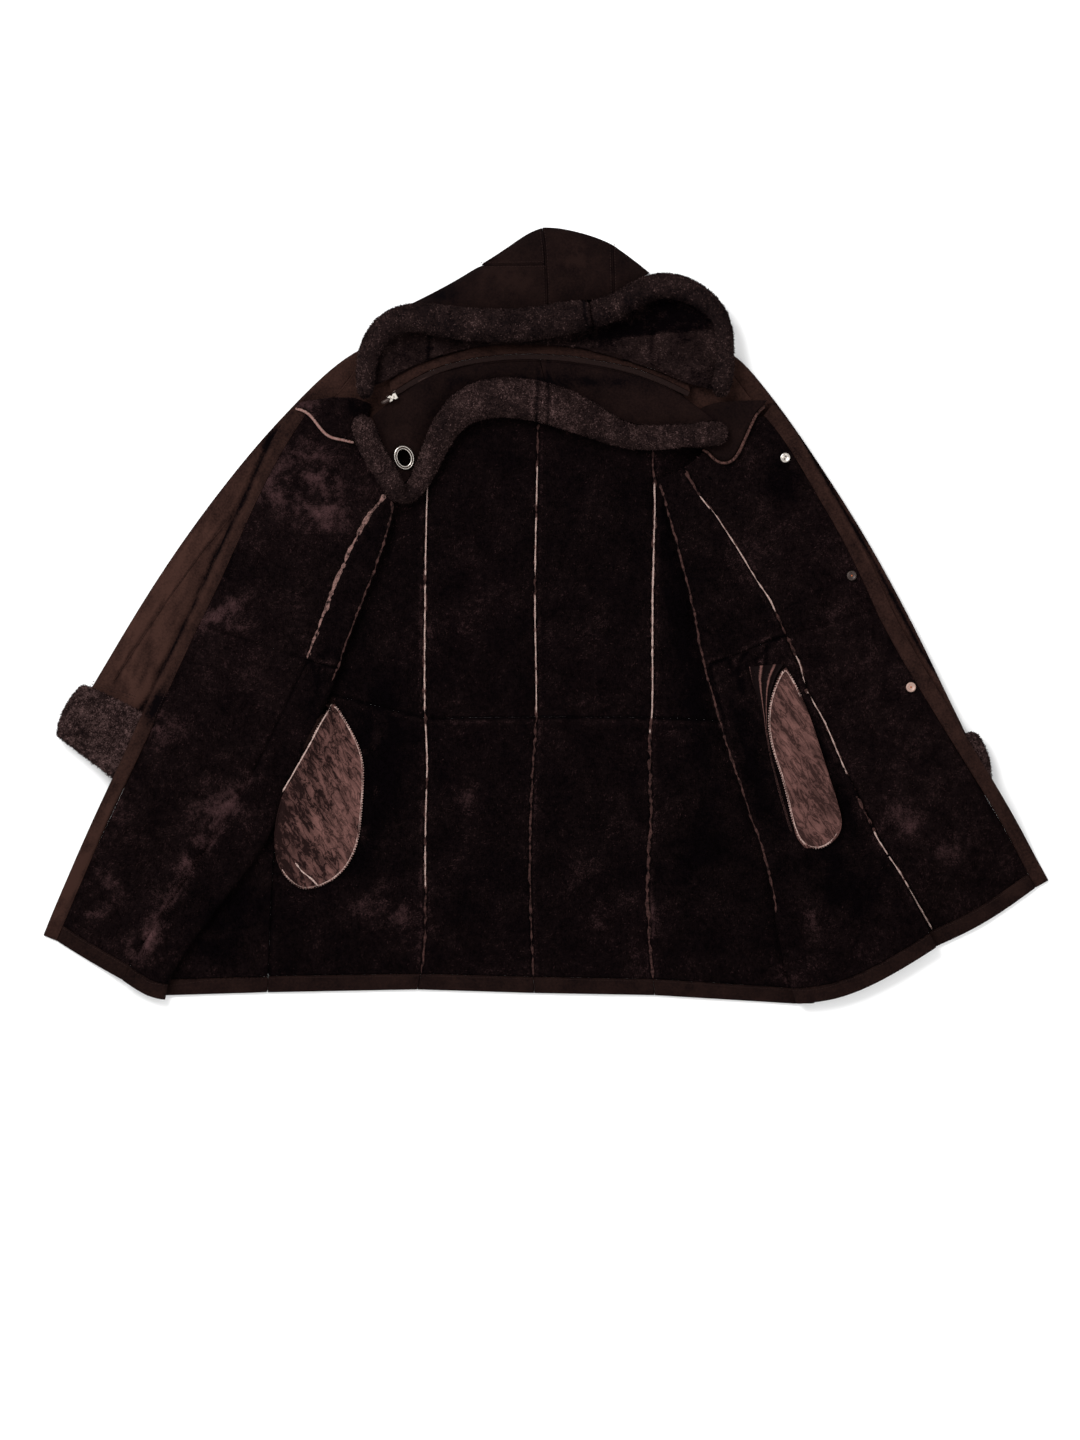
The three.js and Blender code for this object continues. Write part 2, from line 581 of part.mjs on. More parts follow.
// A round roll, resting on the pile.
function rollGeometry(rings, options = {}) {
  const { sides = 8, flatness = 0.78, lift = () => 0 } = options;
  const ring = (r, k) => {
    const turn = (2 * Math.PI * (k + 0.5)) / sides;
    const reach = r.half / Math.cos(Math.PI / sides);
    const out = Math.cos(turn) * reach;
    return [r.x + r.nx * out, r.y + r.ny * out, Math.sin(turn) * reach * flatness];
  };
  const corner = 1 / Math.cos(Math.PI / sides);
  const needed = rings.map((r, n) => {
    const next = rings[Math.min(rings.length - 1, n + 1)];
    let base = r.half * flatness + REST_GAP;
    for (const step of shares(12))
      for (const out of shares(16).map((t) => 2 * t - 1)) {
        const half = mix(r.half, next.half, step);
        const x = mix(r.x, next.x, step) + mix(r.nx, next.nx, step) * out * half;
        const y = mix(r.y, next.y, step) + mix(r.ny, next.ny, step) * out * half;
        const below = flatness * half * Math.sqrt(corner * corner - out * out);
        base = Math.max(base, groundAt(x, y) + REST_GAP + 0.15 + below);
      }
    return base + lift(r);
  });
  const over = needed.map((_, n) => Math.max(...needed.slice(Math.max(0, n - 1), n + 2)));
  const centre = over.map((_, n) => Math.max(needed[n], needed[Math.max(0, n - 1)],
    average(over.slice(Math.max(0, n - 1), n + 2))));
  const points = rings.flatMap((r, n) =>
    Array.from({ length: sides }, (_, k) => {
      const [x, y, z] = ring(r, k);
      return [x, y, centre[n] + z];
    }));
  const faces = [];
  for (let n = 0; n + 1 < rings.length; n++)
    for (let k = 0; k < sides; k++) {
      const [a, b] = [n * sides + k, n * sides + ((k + 1) % sides)];
      faces.push(a, b, b + sides, a, b + sides, a + sides);
    }
  for (const n of [0, rings.length - 1]) {
    const hub = points.push([rings[n].x, rings[n].y, centre[n]]) - 1;
    for (let k = 0; k < sides; k++) {
      const [a, b] = [n * sides + k, n * sides + ((k + 1) % sides)];
      if (n === 0) faces.push(hub, b, a);
      else faces.push(hub, a, b);
    }
  }
  return closed(points, faces);
}

// The highest point of the pile under a small round thing.
function topUnder(x, y, reach) {
  let top = 0;
  for (let a = 0; a < 2 * Math.PI; a += Math.PI / 12)
    for (const r of [0, reach / 2, reach])
      top = Math.max(top, groundAt(x + r * Math.cos(a), y + r * Math.sin(a)));
  return top + REST_GAP;
}

// ---------------------------------------------------------------- body: back, sides, fronts

// Back panels lie flat on the floor; their undersides are the coat's resting face.
function backPanels() {
  const floor = () => 0;
  for (const side of ["left", "right"]) {
    const { side: sideSeam, princess } = LINES[side];
    const armhole = ARMHOLES[side].slice(0, -1).reverse().map(vector);
    const panels = {
      centre: { out: princess, in: LINES.centreBack },
      side: { out: sideSeam, in: princess },
    };
    for (const [which, lines] of Object.entries(panels)) {
      const name = `back_${which}_${side}`;
      add(`${name}_hem`, laid(patch(lines.out(HEM_ROWS), lines.in(HEM_ROWS), 5, { strips: [4] }),
        even(HEM_WALL), floor), MATERIALS.suede);
      add(`${name}_lower`, laid(patch(lines.out(LOWER_ROWS), lines.in(LOWER_ROWS), 6),
        rounded(PILE_WALL), floor), MATERIALS.wool);
      const outer = which === "side" ? [...lines.out(UPPER_ROWS), ...armhole] : lines.out(BACK_ROWS);
      const inner = lines.in(BACK_ROWS);
      add(`${name}_upper`, laid(patch(outer, inner, 6), rounded(PILE_WALL), floor), MATERIALS.wool);
    }
  }
}

// Half a flattened tube between two long edges: its upper or its under wall.
function tubeHalf(outerEdge, innerEdge, options) {
  const { section, upper, mid, rows, shift = null } = options;
  const [, fullOut, , fullIn] = section[section.length - 1];
  const columns = [
    ...section.map((w) => [...w, 0]),
    ...ACROSS.map((s) => [0, fullOut, 0, fullIn, s]),
    ...[...section].reverse().map((w) => [...w, 1]),
  ];
  const [faceOut, faceIn] = [[], []];
  for (const [outIn, outUp, inIn, inUp, end] of columns) {
    const [rowOut, rowIn] = [[], []];
    for (const t of rows) {
      const [p, q] = [outerEdge.getPointAt(t), innerEdge.getPointAt(t)];
      const width = p.distanceTo(q);
      const place = (inward, rise) => {
        const share = end === 0 ? inward / width : end === 1 ? 1 - inward / width : end;
        const at = p.clone().lerp(q, share);
        if (shift) at.add(shift(share, t));
        return [at.x, at.y, mid(t) + (rise + SEAM_GAP / 2) * (upper ? 1 : -1)];
      };
      rowOut.push(place(outIn, outUp));
      rowIn.push(place(inIn, inUp));
    }
    faceOut.push(rowOut);
    faceIn.push(rowIn);
  }
  return wallGeometry(faceOut, faceIn);
}

// Sleeves lie flat beside the back, and their ends rise into the turned-back cuffs.
function sleeves() {
  const cuffMid = CUFF_HALF + SEAM_GAP / 2;
  for (const side of ["left", "right"]) {
    const [outer, inner] = [curveOf(SLEEVES[side].outer), curveOf(SLEEVES[side].inner)];
    const armhole = offsetPoints(ARMHOLES[side].map(vector), side === "left" ? -0.5 : 0.5);
    const [first, last] = [outer.getPointAt(0), inner.getPointAt(0)];
    const shift = (share, t) => {
      const hold = (1 - clamp(t / 0.45, 0, 1)) ** 2;
      return onPolyline(armhole, share).sub(first.clone().lerp(last, share)).multiplyScalar(hold);
    };
    const mid = (t) => mix(SLEEVE_HALF + SEAM_GAP / 2, cuffMid, smooth((t - 0.66) / 0.14));
    const sleeve = { section: SLEEVE_SECTION, mid, rows: SLEEVE_ROWS, shift };
    const cuffEdges = [curveOf(CUFFS[side].outer), curveOf(CUFFS[side].inner)];
    const bulge = new THREE.Vector3(side === "left" ? 3 : -3, 8, 0);
    const cuff = {
      section: CUFF_SECTION,
      mid: () => cuffMid,
      rows: [0, 0.12, 0.5, 0.88, 1],
      shift: (share, t) => bulge.clone().multiplyScalar(4 * share * (1 - share) * (1 - t)),
    };
    for (const half of ["under", "top"]) {
      const upper = half === "top";
      add(`sleeve_${side}_${half}`, tubeHalf(outer, inner, { ...sleeve, upper }), MATERIALS.suede);
      add(`cuff_${side}_${half}`, tubeHalf(...cuffEdges, { ...cuff, upper }), MATERIALS.trim);
    }
  }
}

// The part of each front that stays at the shoulder, suede up.
function yokes() {
  const surface = drape(12);
  for (const side of ["left", "right"]) {
    const armhole = offsetPoints(ARMHOLES[side].map(vector), side === "left" ? 0.35 : -0.35);
    const outer = [0.02, 0.1, 0.2, 0.3, 0.4].map((s) => onPolyline(armhole, s));
    const grid = patch(outer, NECK_POINTS[side].map(vector), 5);
    add(`yoke_${side}`, laid(grid, rounded(PILE_WALL, 1.5), surface), MATERIALS.suede);
  }
}

// A side panel folded on itself: along the floor from the side seam to the hidden fold, back to
// the fold that shows, and over that to the front seam. Three layers, one piece of skin.
function pleat(side, rows, wall, surface, sag) {
  const [full, layerRise] = [PILE_WALL, PILE_WALL + PLEAT_GAP];
  const up = new THREE.Vector3(0, 0, 1);
  const lines = ["side", "inner", "fold", "front"].map((name) => LINES[side][name](rows));
  const columns = rows.map((s, j) => {
    const endward = j === 0 ? 1 : j === rows.length - 1 ? -1 : 0;
    const [seam, inner, fold, front] = lines.map((l) => {
      const p = l[j].clone();
      return endward ? p.addScaledVector(l[j + endward].clone().sub(l[j]).normalize(), SEAM_GAP / 2) : p;
    });
    const out = inner.clone().sub(seam).normalize();
    const back = fold.clone().sub(inner).normalize();
    const over = front.clone().sub(fold).normalize();
    const [low, mid] = [wall / 2, wall / 2 + layerRise];
    const ground = (p) => Math.max(surface(p.x, p.y) + REST_GAP, mid + layerRise - full / 2) + full / 2;
    const bendA = inner.clone().addScaledVector(out, -(layerRise + full) / 2);
    const radius = Math.max(layerRise, ground(fold) - full / 2 - layerRise) / 2;
    const bendB = fold.clone().addScaledVector(back, -(radius + full / 2));
    const path = [];
    const put = (p, z, n) => path.push({ p: p.clone().setZ(z), n: n.clone() });
    for (const k of [0, 0.5]) put(seam.clone().addScaledVector(out, SEAM_GAP / 2).lerp(bendA, k), low,
      up.clone().negate());
    for (const k of shares(4)) {
      const a = Math.PI * k;
      const n = out.clone().multiplyScalar(Math.sin(a)).addScaledVector(up, -Math.cos(a));
      const at = bendA.clone().addScaledVector(out, (Math.sin(a) * layerRise) / 2);
      put(at, mix(low, mid, (1 - Math.cos(a)) / 2), n);
    }
    put(bendA.clone().lerp(bendB, 0.5), mid, up);
    for (const k of shares(4)) {
      const a = Math.PI * k;
      const n = back.clone().multiplyScalar(-Math.sin(a)).addScaledVector(up, Math.cos(a));
      put(bendB.clone().addScaledVector(back, Math.sin(a) * radius), mid + radius * (1 - Math.cos(a)), n);
    }
    const end = front.clone().addScaledVector(over, -SEAM_GAP / 2);
    const top = mid + 2 * radius;
    for (const k of [0.25, 0.5, 0.75, 0.93, 1]) {
      const p = bendB.clone().lerp(end, k);
      p.y -= sag * Math.sin(Math.PI * k ** 0.8) * smooth(1 - Math.max(0, s) * 4);
      const rise = Math.max(mix(top, ground(p), smooth(k * 2.5)), mid + layerRise);
      put(p, rise + foldLift(p.x, p.y) * smooth(k), up.clone().negate());
    }
    return path;
  });
  const face = (way) => columns[0].map((_, i) =>
    columns.map((c) => c[i].p.clone().addScaledVector(c[i].n, (way * wall) / 2).toArray()));
  return wallGeometry(face(1), face(-1));
}

// The lower two layers of both pleats as plain blocks, so that what lies above clears them.
function pleatBlocks() {
  const height = 2 * PILE_WALL + PLEAT_GAP;
  for (const side of ["left", "right"])
    for (const rows of [[...HEM_ROWS.slice(0, 2), ...LOWER_ROWS], UPPER_ROWS]) {
      const grid = patch(LINES[side].inner(rows), LINES[side].fold(rows), 4, { strips: [3] });
      addToPile(wallGeometry(grid.map((l) => l.map((g) => [g.x, g.y, height])),
        grid.map((l) => l.map((g) => [g.x, g.y, 0]))));
    }
}

function sidePanels(surface) {
  for (const side of ["left", "right"]) {
    const name = `side_${side}`;
    const sag = HEM_SAG[name];
    add(`${name}_hem`, pleat(side, HEM_ROWS, HEM_WALL, surface, sag), MATERIALS.suede);
    add(`${name}_lower`, pleat(side, LOWER_ROWS, PILE_WALL, surface, sag), MATERIALS.wool);
    add(`${name}_upper`, pleat(side, UPPER_ROWS, PILE_WALL, surface, 0), MATERIALS.wool);
  }
}

// Fronts turned wool side up over the sleeves, with a suede band along the edge and the hem.
function frontPanels(surface) {
  for (const side of ["left", "right"]) {
    const name = `front_${side}`;
    const { edge, band, front } = LINES[side];
    const lift = (g) => foldLift(g.x, g.y) * smooth(Math.min(1, g.du / 30));
    const sagOver = (rows) => (u, j) =>
      new THREE.Vector3(0, -HEM_SAG[name] * Math.sin(Math.PI * u) * smooth(1 - Math.max(0, rows[j]) * 4), 0);
    const corner = new THREE.Vector3(...(side === "left" ? [20, 15, 0] : [6, 12, 0]));
    const turned = (u, j) => corner.clone().multiplyScalar(UPPER_ROWS[j] > 1.9 ? 4 * u * (1 - u) : 0);
    const panels = [
      ["hem", HEM_ROWS, 7, even(HEM_WALL), { bow: sagOver(HEM_ROWS) }, MATERIALS.suede],
      ["lower", LOWER_ROWS, 7, rounded(PILE_WALL), { bow: sagOver(LOWER_ROWS) }, MATERIALS.wool],
      ["upper", UPPER_ROWS, 7, rounded(PILE_WALL), { bow: turned }, MATERIALS.wool],
    ];
    for (const [part, rows, cols, thickness, options, material] of panels) {
      const grid = patch(band(rows), front(rows), cols, options);
      add(`${name}_${part}`, laid(grid, thickness, surface, lift), material);
    }
    const whole = [...HEM_ROWS.slice(0, 2), ...LOWER_ROWS, ...UPPER_ROWS.slice(1)];
    const strip = patch(edge(whole), band(whole), 4, { strips: [5] });
    add(`${name}_band`, laid(strip, rounded(HEM_WALL, 1.5), surface), MATERIALS.suede);
  }
}

// ---------------------------------------------------------------- neck: lapels, collar, hood

function lapels() {
  const surface = drape(12);
  for (const side of ["left", "right"]) {
    const { near, far } = LAPELS[side];
    const rows = 2 * (near.length - 1);
    const [a, b] = [along(curveOf(near), rows), along(curveOf(far), rows)];
    const [wall, material] = side === "left" ? [8, MATERIALS.wool] : [6, MATERIALS.suede];
    add(`lapel_${side}`, laid(patch(a, b, 5, { strips: [4] }), rounded(wall, 1.5), surface), material);
    const line = offsetPoints(a, -(PIPING_RADIUS + 0.45));
    const shown = side === "left" ? line.slice(0, -1) : line.slice(1);
    const rings = shown.map((p, n) => {
      const [c, d] = [shown[Math.max(0, n - 1)], shown[Math.min(shown.length - 1, n + 1)]];
      const length = Math.hypot(d.x - c.x, d.y - c.y);
      return { x: p.x, y: p.y, half: PIPING_RADIUS, nx: -(d.y - c.y) / length, ny: (d.x - c.x) / length };
    });
    add(`piping_${side}`, rollGeometry(rings, { sides: 6, flatness: 1 }), MATERIALS.piping);
  }
}

// The collar, folded down over the back with its suede side up, in two halves.
async function collar() {
  const surface = drape(14);
  const [zip, roll] = [curveOf(ZIP_LINE), curveOf(COLLAR_ROLL)];
  const top = along(roll, 60).map((p) => p);
  const rollTop = curveOf(offsetPoints(top, (p) => p.z + 0.4).map((p) => [p.x, p.y]));
  const [zipSeam, rollSeam] = [shareNear(zip, [4, 888]), shareNear(rollTop, [12, 856])];
  const [corner, end] = [shareNear(rollTop, [-183, 716]), shareNear(rollTop, [248, 801])];
  const start = shareNear(rollTop, [-231, 806]);
  const halves = {
    right: [along(zip, 9, zipSeam, 0.97), along(rollTop, 9, rollSeam, end), 6],
    left: [
      [...along(zip, 7, zipSeam, 0), ...along(rollTop, 6, start, mix(start, corner, 0.92))],
      along(rollTop, 14, rollSeam, corner),
      7,
    ],
  };
  const made = Object.entries(halves).map(([side, [a, b, cols]]) =>
    [side, laid(patch(a, b, cols, { strips: [5] }), rounded(COLLAR_WALL, 2), surface)]);
  for (const [side, geometry] of made)
    add(`collar_${side}`, side === "left" ? await pierced(geometry) : geometry, MATERIALS.suede);
}

// Cuts the oval hole for the eyelet.
async function pierced(geometry) {
  const wasm = await Module();
  wasm.setup();
  const solid = (g) => {
    const bare = new THREE.BufferGeometry().setAttribute("position", g.getAttribute("position"));
    bare.setIndex(g.index);
    const merged = mergeVertices(bare, 1e-4);
    return new wasm.Manifold(new wasm.Mesh({
      numProp: 3,
      vertProperties: merged.getAttribute("position").array,
      triVerts: new Uint32Array(merged.index.array),
    }));
  };
  const oval = new THREE.Shape();
  oval.absellipse(0, 0, EYELET.halfWidth, EYELET.halfLength, 0, 2 * Math.PI);
  const cutter = new THREE.ExtrudeGeometry(oval, { depth: 200, bevelEnabled: false, curveSegments: 8 });
  cutter.rotateZ(EYELET.turn).translate(EYELET.x, EYELET.y, 0);
  const cut = solid(geometry).subtract(solid(cutter)).getMesh();
  const result = new THREE.BufferGeometry();
  result.setAttribute("position", new THREE.Float32BufferAttribute(cut.vertProperties, 3));
  result.setIndex(Array.from(cut.triVerts));
  return result;
}

// The metal ring round the hole, standing on the suede.
function eyelet() {
  const [sides, turns, flat] = [8, 24, 0.75];
  const spin = new THREE.Matrix4().makeRotationZ(EYELET.turn).setPosition(EYELET.x, EYELET.y, 0);
  const feet = shares(72).flatMap((t) => shares(8).map((across) => {
    const a = 2 * Math.PI * t;
    const p = new THREE.Vector3(Math.cos(a) * (EYELET.halfWidth + 2 * across * EYELET.wire),
      Math.sin(a) * (EYELET.halfLength + 2 * across * EYELET.wire), 0).applyMatrix4(spin);
    const below = flat * EYELET.wire * Math.sqrt(1 - (2 * across - 1) ** 2);
    return p.setZ(groundAt(p.x, p.y) + below);
  }));
  // The ring leans with the suede under it.
  const lean = ["x", "y"].map((k) => {
    const from = EYELET[k];
    const [num, den] = feet.reduce(([m, d], p) => [m + (p[k] - from) * p.z, d + (p[k] - from) ** 2], [0, 0]);
    return num / den;
  });
  const plane = (x, y) => lean[0] * (x - EYELET.x) + lean[1] * (y - EYELET.y);
  const seat = Math.max(...feet.map((p) => p.z - plane(p.x, p.y))) + 0.2;
  const points = [];
  for (let n = 0; n < turns; n++)
    for (let k = 0; k < sides; k++) {
      const [a, b] = [(2 * Math.PI * n) / turns, (2 * Math.PI * k) / sides];
      const out = EYELET.wire * (1 + Math.cos(b));
      const x = Math.cos(a) * (EYELET.halfWidth + out);
      const y = Math.sin(a) * (EYELET.halfLength + out);
      const z = Math.sin(b) * EYELET.wire * flat;
      const p = new THREE.Vector3(x, y, z).applyMatrix4(spin);
      points.push([p.x, p.y, p.z + seat + plane(p.x, p.y)]);
    }
  const faces = [];
  for (let n = 0; n < turns; n++)
    for (let k = 0; k < sides; k++) {
      const [m, l] = [(n + 1) % turns, (k + 1) % sides];
      const [a, b, c, d] = [n * sides + k, n * sides + l, m * sides + l, m * sides + k];
      faces.push(a, b, c, a, c, d);
    }
  add("collar_eyelet", closed(points, faces), MATERIALS.metal);
}

function hoodBack() {
  const surface = drape(18);
  const zip = curveOf(ZIP_LINE);
  const rows = 14;
  const chain = patch(along(zip, rows), offsetPoints(along(zip, rows), ZIP_WIDTH), 4, { strips: [1] });
  const top = along(curveOf(NECKBAND_TOP), rows);
  const band = patch(offsetPoints(along(zip, rows), ZIP_WIDTH + 0.6), top, 4, { strips: [4] });
  const low = [vector(HOOD_BACK_ENDS[0]), ...offsetPoints(top, 0.3), vector(HOOD_BACK_ENDS[1])];
  const back = patch(low, along(curveOf(HOOD_BACK_TOP), rows + 2), 7);
  add("hood_neckband", laid(band, rounded(6, 1.5), surface), MATERIALS.suede);
  add("hood_back", laid(back, rounded(PILE_WALL), surface), MATERIALS.wool);
  add("hood_zip", laid(chain, even(ZIP_RISE), surface, () => 1), MATERIALS.zip);
}

// The crown, from its outline on the floor up to the rim, and the two fur rolls of the rim.
function hoodCrown() {
  const surface = drape(14);
  const rim = curveOf(HOOD_RIM);
  const outline = curveOf(CROWN_OUTLINE);
  const rimEdge = curveOf(offsetPoints(along(rim, 70), (p) => p.z + 0.4).map((p) => [p.x, p.y]));
  const seam = Object.fromEntries(Object.entries(CROWN_SEAMS).map(([name, [top, low]]) =>
    [name, [shareNear(outline, top), shareNear(rimEdge, low)]]));
  const across = along(curveOf(YOKE_SEAM), 6);
  const under = [...along(outline, 6, seam.start[0], shareNear(outline, YOKE_SEAM[0])), ...across.slice(1)];
  const panels = {
    left: [under, along(rimEdge, 12, seam.start[1], seam.centre[1]), 7],
    yoke: [along(outline, 6, shareNear(outline, [-75, 1025]), seam.centre[0]), offsetPoints(across, 0.3), 5],
    centre: [along(outline, 7, seam.centre[0], seam.right[0]),
      along(rimEdge, 7, seam.centre[1], seam.right[1]), 7],
    right: [along(outline, 5, seam.right[0], seam.end[0]),
      along(rimEdge, 5, seam.right[1], seam.end[1]), 5],
  };
  const made = Object.entries(panels).map(([which, [a, b, cols]]) => {
    const grid = patch(a, b, cols);
    const away = (g) => {
      const t = shareNear(outline, [g.x, g.y]);
      const p = outline.getPointAt(t);
      return Math.hypot(p.x - g.x, p.y - g.y);
    };
    const height = (g) => {
      const far = away(g);
      if (far < 1.5) return -surface(g.x, g.y) - REST_GAP + 0.05;
      return HOOD_PUFF * Math.sin(Math.PI * Math.min(0.62, far / 110)) ** 0.7;
    };
    return [which, laid(grid, (g) => (away(g) < 1.5 ? 6 : rounded(PILE_WALL, 1.5)(g)), surface, height)];
  });
  for (const [which, geometry] of made) add(`hood_crown_${which}`, geometry, MATERIALS.suede);
  const lift = (r) => 10 * smooth((r.y - 880) / 60) * smooth((r.x + 240) / 70) * smooth((275 - r.x) / 40);
  const meet = shareNear(rim, RIM_SEAM);
  const gap = 0.5 / rim.getLength();
  const rolls = {
    left: ringsAlong(rim, { to: meet - gap, ends: [true, false] }),
    right: ringsAlong(rim, { from: meet + gap, ends: [false, true] }),
  };
  const fur = Object.entries(rolls).map(([side, rings]) => [side, rollGeometry(rings, { lift })]);
  for (const [side, geometry] of fur) add(`hood_rim_${side}`, geometry, MATERIALS.trim);
}

function collarRoll() {
  add("collar_roll", rollGeometry(ringsAlong(curveOf(COLLAR_ROLL)), { flatness: 0.7 }), MATERIALS.trim);
}

// ---------------------------------------------------------------- pockets and fastenings

function pockets() {
  const surface = drape(16);
  const made = ["left", "right"].map((side) => {
    const grid = patch(along(curveOf(POCKETS[side].near), 11), along(curveOf(POCKETS[side].far), 11), 6,
      { strips: [5] });
    const plump = (g) => BAG_WALL + 5 * smooth(g.du / 26) * smooth(g.dv / 30);
    return [side, laid(grid, plump, surface)];
  });
  for (const [side, geometry] of made) add(`pocket_${side}`, geometry, MATERIALS.bag);
}

// A press stud's back: a low disc with a rolled rim.
function snaps() {
  const profile = [[0, 0], [SNAP_RADIUS, 0], [SNAP_RADIUS, SNAP_RISE * 0.6], [SNAP_RADIUS * 0.85, SNAP_RISE],
    [SNAP_RADIUS * 0.6, SNAP_RISE * 0.8], [0, SNAP_RISE * 0.8]];
  SNAPS.forEach(([x, y], n) => {
    const disc = new THREE.LatheGeometry(profile.map(([r, z]) => new THREE.Vector2(r, z)), 16);
    disc.rotateX(Math.PI / 2);
    const bare = new THREE.BufferGeometry().setAttribute("position", disc.getAttribute("position"));
    bare.setIndex(disc.index);
    const merged = mergeVertices(bare, 1e-3);
    const mesh = add(`snap_${n + 1}`, merged, n === 0 ? MATERIALS.metal : MATERIALS.stud);
    mesh.position.set(x, y, topUnder(x, y, SNAP_RADIUS));
  });
}

function slider() {
  const { x, y, length, width, rise, turn } = SLIDER;
  const shape = new THREE.Shape();
  shape.moveTo(-length / 2, -width * 0.3);
  shape.lineTo(-length * 0.1, -width / 2);
  shape.lineTo(length / 2, -width * 0.42);
  shape.lineTo(length / 2, width * 0.42);
  shape.lineTo(-length * 0.1, width / 2);
  shape.lineTo(-length / 2, width * 0.3);
  const body = new THREE.ExtrudeGeometry(shape, { depth: rise, bevelEnabled: false });
  const bare = new THREE.BufferGeometry().setAttribute("position", body.getAttribute("position"));
  const mesh = add("zip_slider", mergeVertices(bare, 1e-3), MATERIALS.metal);
  mesh.position.set(x, y, topUnder(x, y, length / 2));
  mesh.rotation.z = turn;
}

// ---------------------------------------------------------------- laying the coat out

backPanels();
sleeves();
settle();
yokes();
settle();
pleatBlocks();
const overLayers = drape(42);
sidePanels(overLayers);
frontPanels(overLayers);
settle();
lapels();
settle();
await collar();
settle();
eyelet();
hoodBack();
settle();
hoodCrown();
settle();
collarRoll();
pockets();
snaps();
settle();
slider();

const box = new THREE.Box3().setFromObject(coat);
coat.position.set(-(box.min.x + box.max.x) / 2, -(box.min.y + box.max.y) / 2, -box.min.z);

export default coat;
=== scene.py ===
"""A hooded sheepskin coat, laid open on its back with the wool side up.

Every piece is dressed from the wall that stands for it in the frame: the wall is smoothed, its
face gets the relief of skin or wool, and tufts, seams, stitches and fastenings go on top.
Tables are in millimetres in the frame's own axes: +X right, +Y to the hood, +Z up.
"""

import math

import bmesh
import bpy
import numpy as np
from bpy.props import FloatProperty, FloatVectorProperty, IntProperty, PointerProperty
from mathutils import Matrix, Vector
from mathutils.bvhtree import BVHTree
from mathutils.kdtree import KDTree


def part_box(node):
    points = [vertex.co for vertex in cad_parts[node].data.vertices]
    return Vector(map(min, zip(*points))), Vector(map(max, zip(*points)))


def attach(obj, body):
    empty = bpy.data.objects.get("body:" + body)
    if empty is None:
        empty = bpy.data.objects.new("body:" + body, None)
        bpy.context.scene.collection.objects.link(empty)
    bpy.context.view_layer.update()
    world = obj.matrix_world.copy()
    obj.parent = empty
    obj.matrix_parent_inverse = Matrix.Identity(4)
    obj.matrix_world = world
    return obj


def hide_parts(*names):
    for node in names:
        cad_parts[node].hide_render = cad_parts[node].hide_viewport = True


bl_info = {
    "name": "Sheepskin coat",
    "version": (1, 0, 0),
    "blender": (4, 5, 0),
    "location": "View3D > Sidebar > Coat",
    "description": "Dresses the walls of a laid-open sheepskin coat with skin, wool and trims",
    "category": "Object",
}

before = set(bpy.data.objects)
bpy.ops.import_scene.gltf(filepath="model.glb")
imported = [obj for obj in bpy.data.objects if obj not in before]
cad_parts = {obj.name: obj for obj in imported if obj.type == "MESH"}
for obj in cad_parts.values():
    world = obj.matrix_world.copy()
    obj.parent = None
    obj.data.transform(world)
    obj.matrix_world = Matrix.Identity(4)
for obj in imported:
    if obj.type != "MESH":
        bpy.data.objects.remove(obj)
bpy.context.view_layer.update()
MM = 0.001


def linear(value):
    """An sRGB hex colour as the linear RGBA that a shader works in."""
    parts = [((value >> shift) & 255) / 255 for shift in (16, 8, 0)]
    return tuple(c / 12.92 if c <= 0.04045 else ((c + 0.055) / 1.055) ** 2.4 for c in parts) + (1.0,)


# ---------------------------------------------------------------- tables

# What is cut and sewn with another piece, and which piece that is.
SEWN_TO = {"piping_left": "lapel_left", "piping_right": "lapel_right", "hood_zip": "hood_neckband"}

# Pieces that aren't cut flat on their own.
NOT_SHEETS = ("collar_roll", "hood_rim_left", "hood_rim_right", "collar_eyelet", *SEWN_TO)

# The share of its rectangle that a cut can fill: a folded piece was wider than it lies, and a
# curved band narrower.
LEAST_FILL, MOST_FILL = 0.4, 0.945

# Which way each pocket bag was pulled, in degrees, and how much lighter it lies.
BAG_PULL = {"left": (-58, -1.22), "right": (-56, -0.62)}

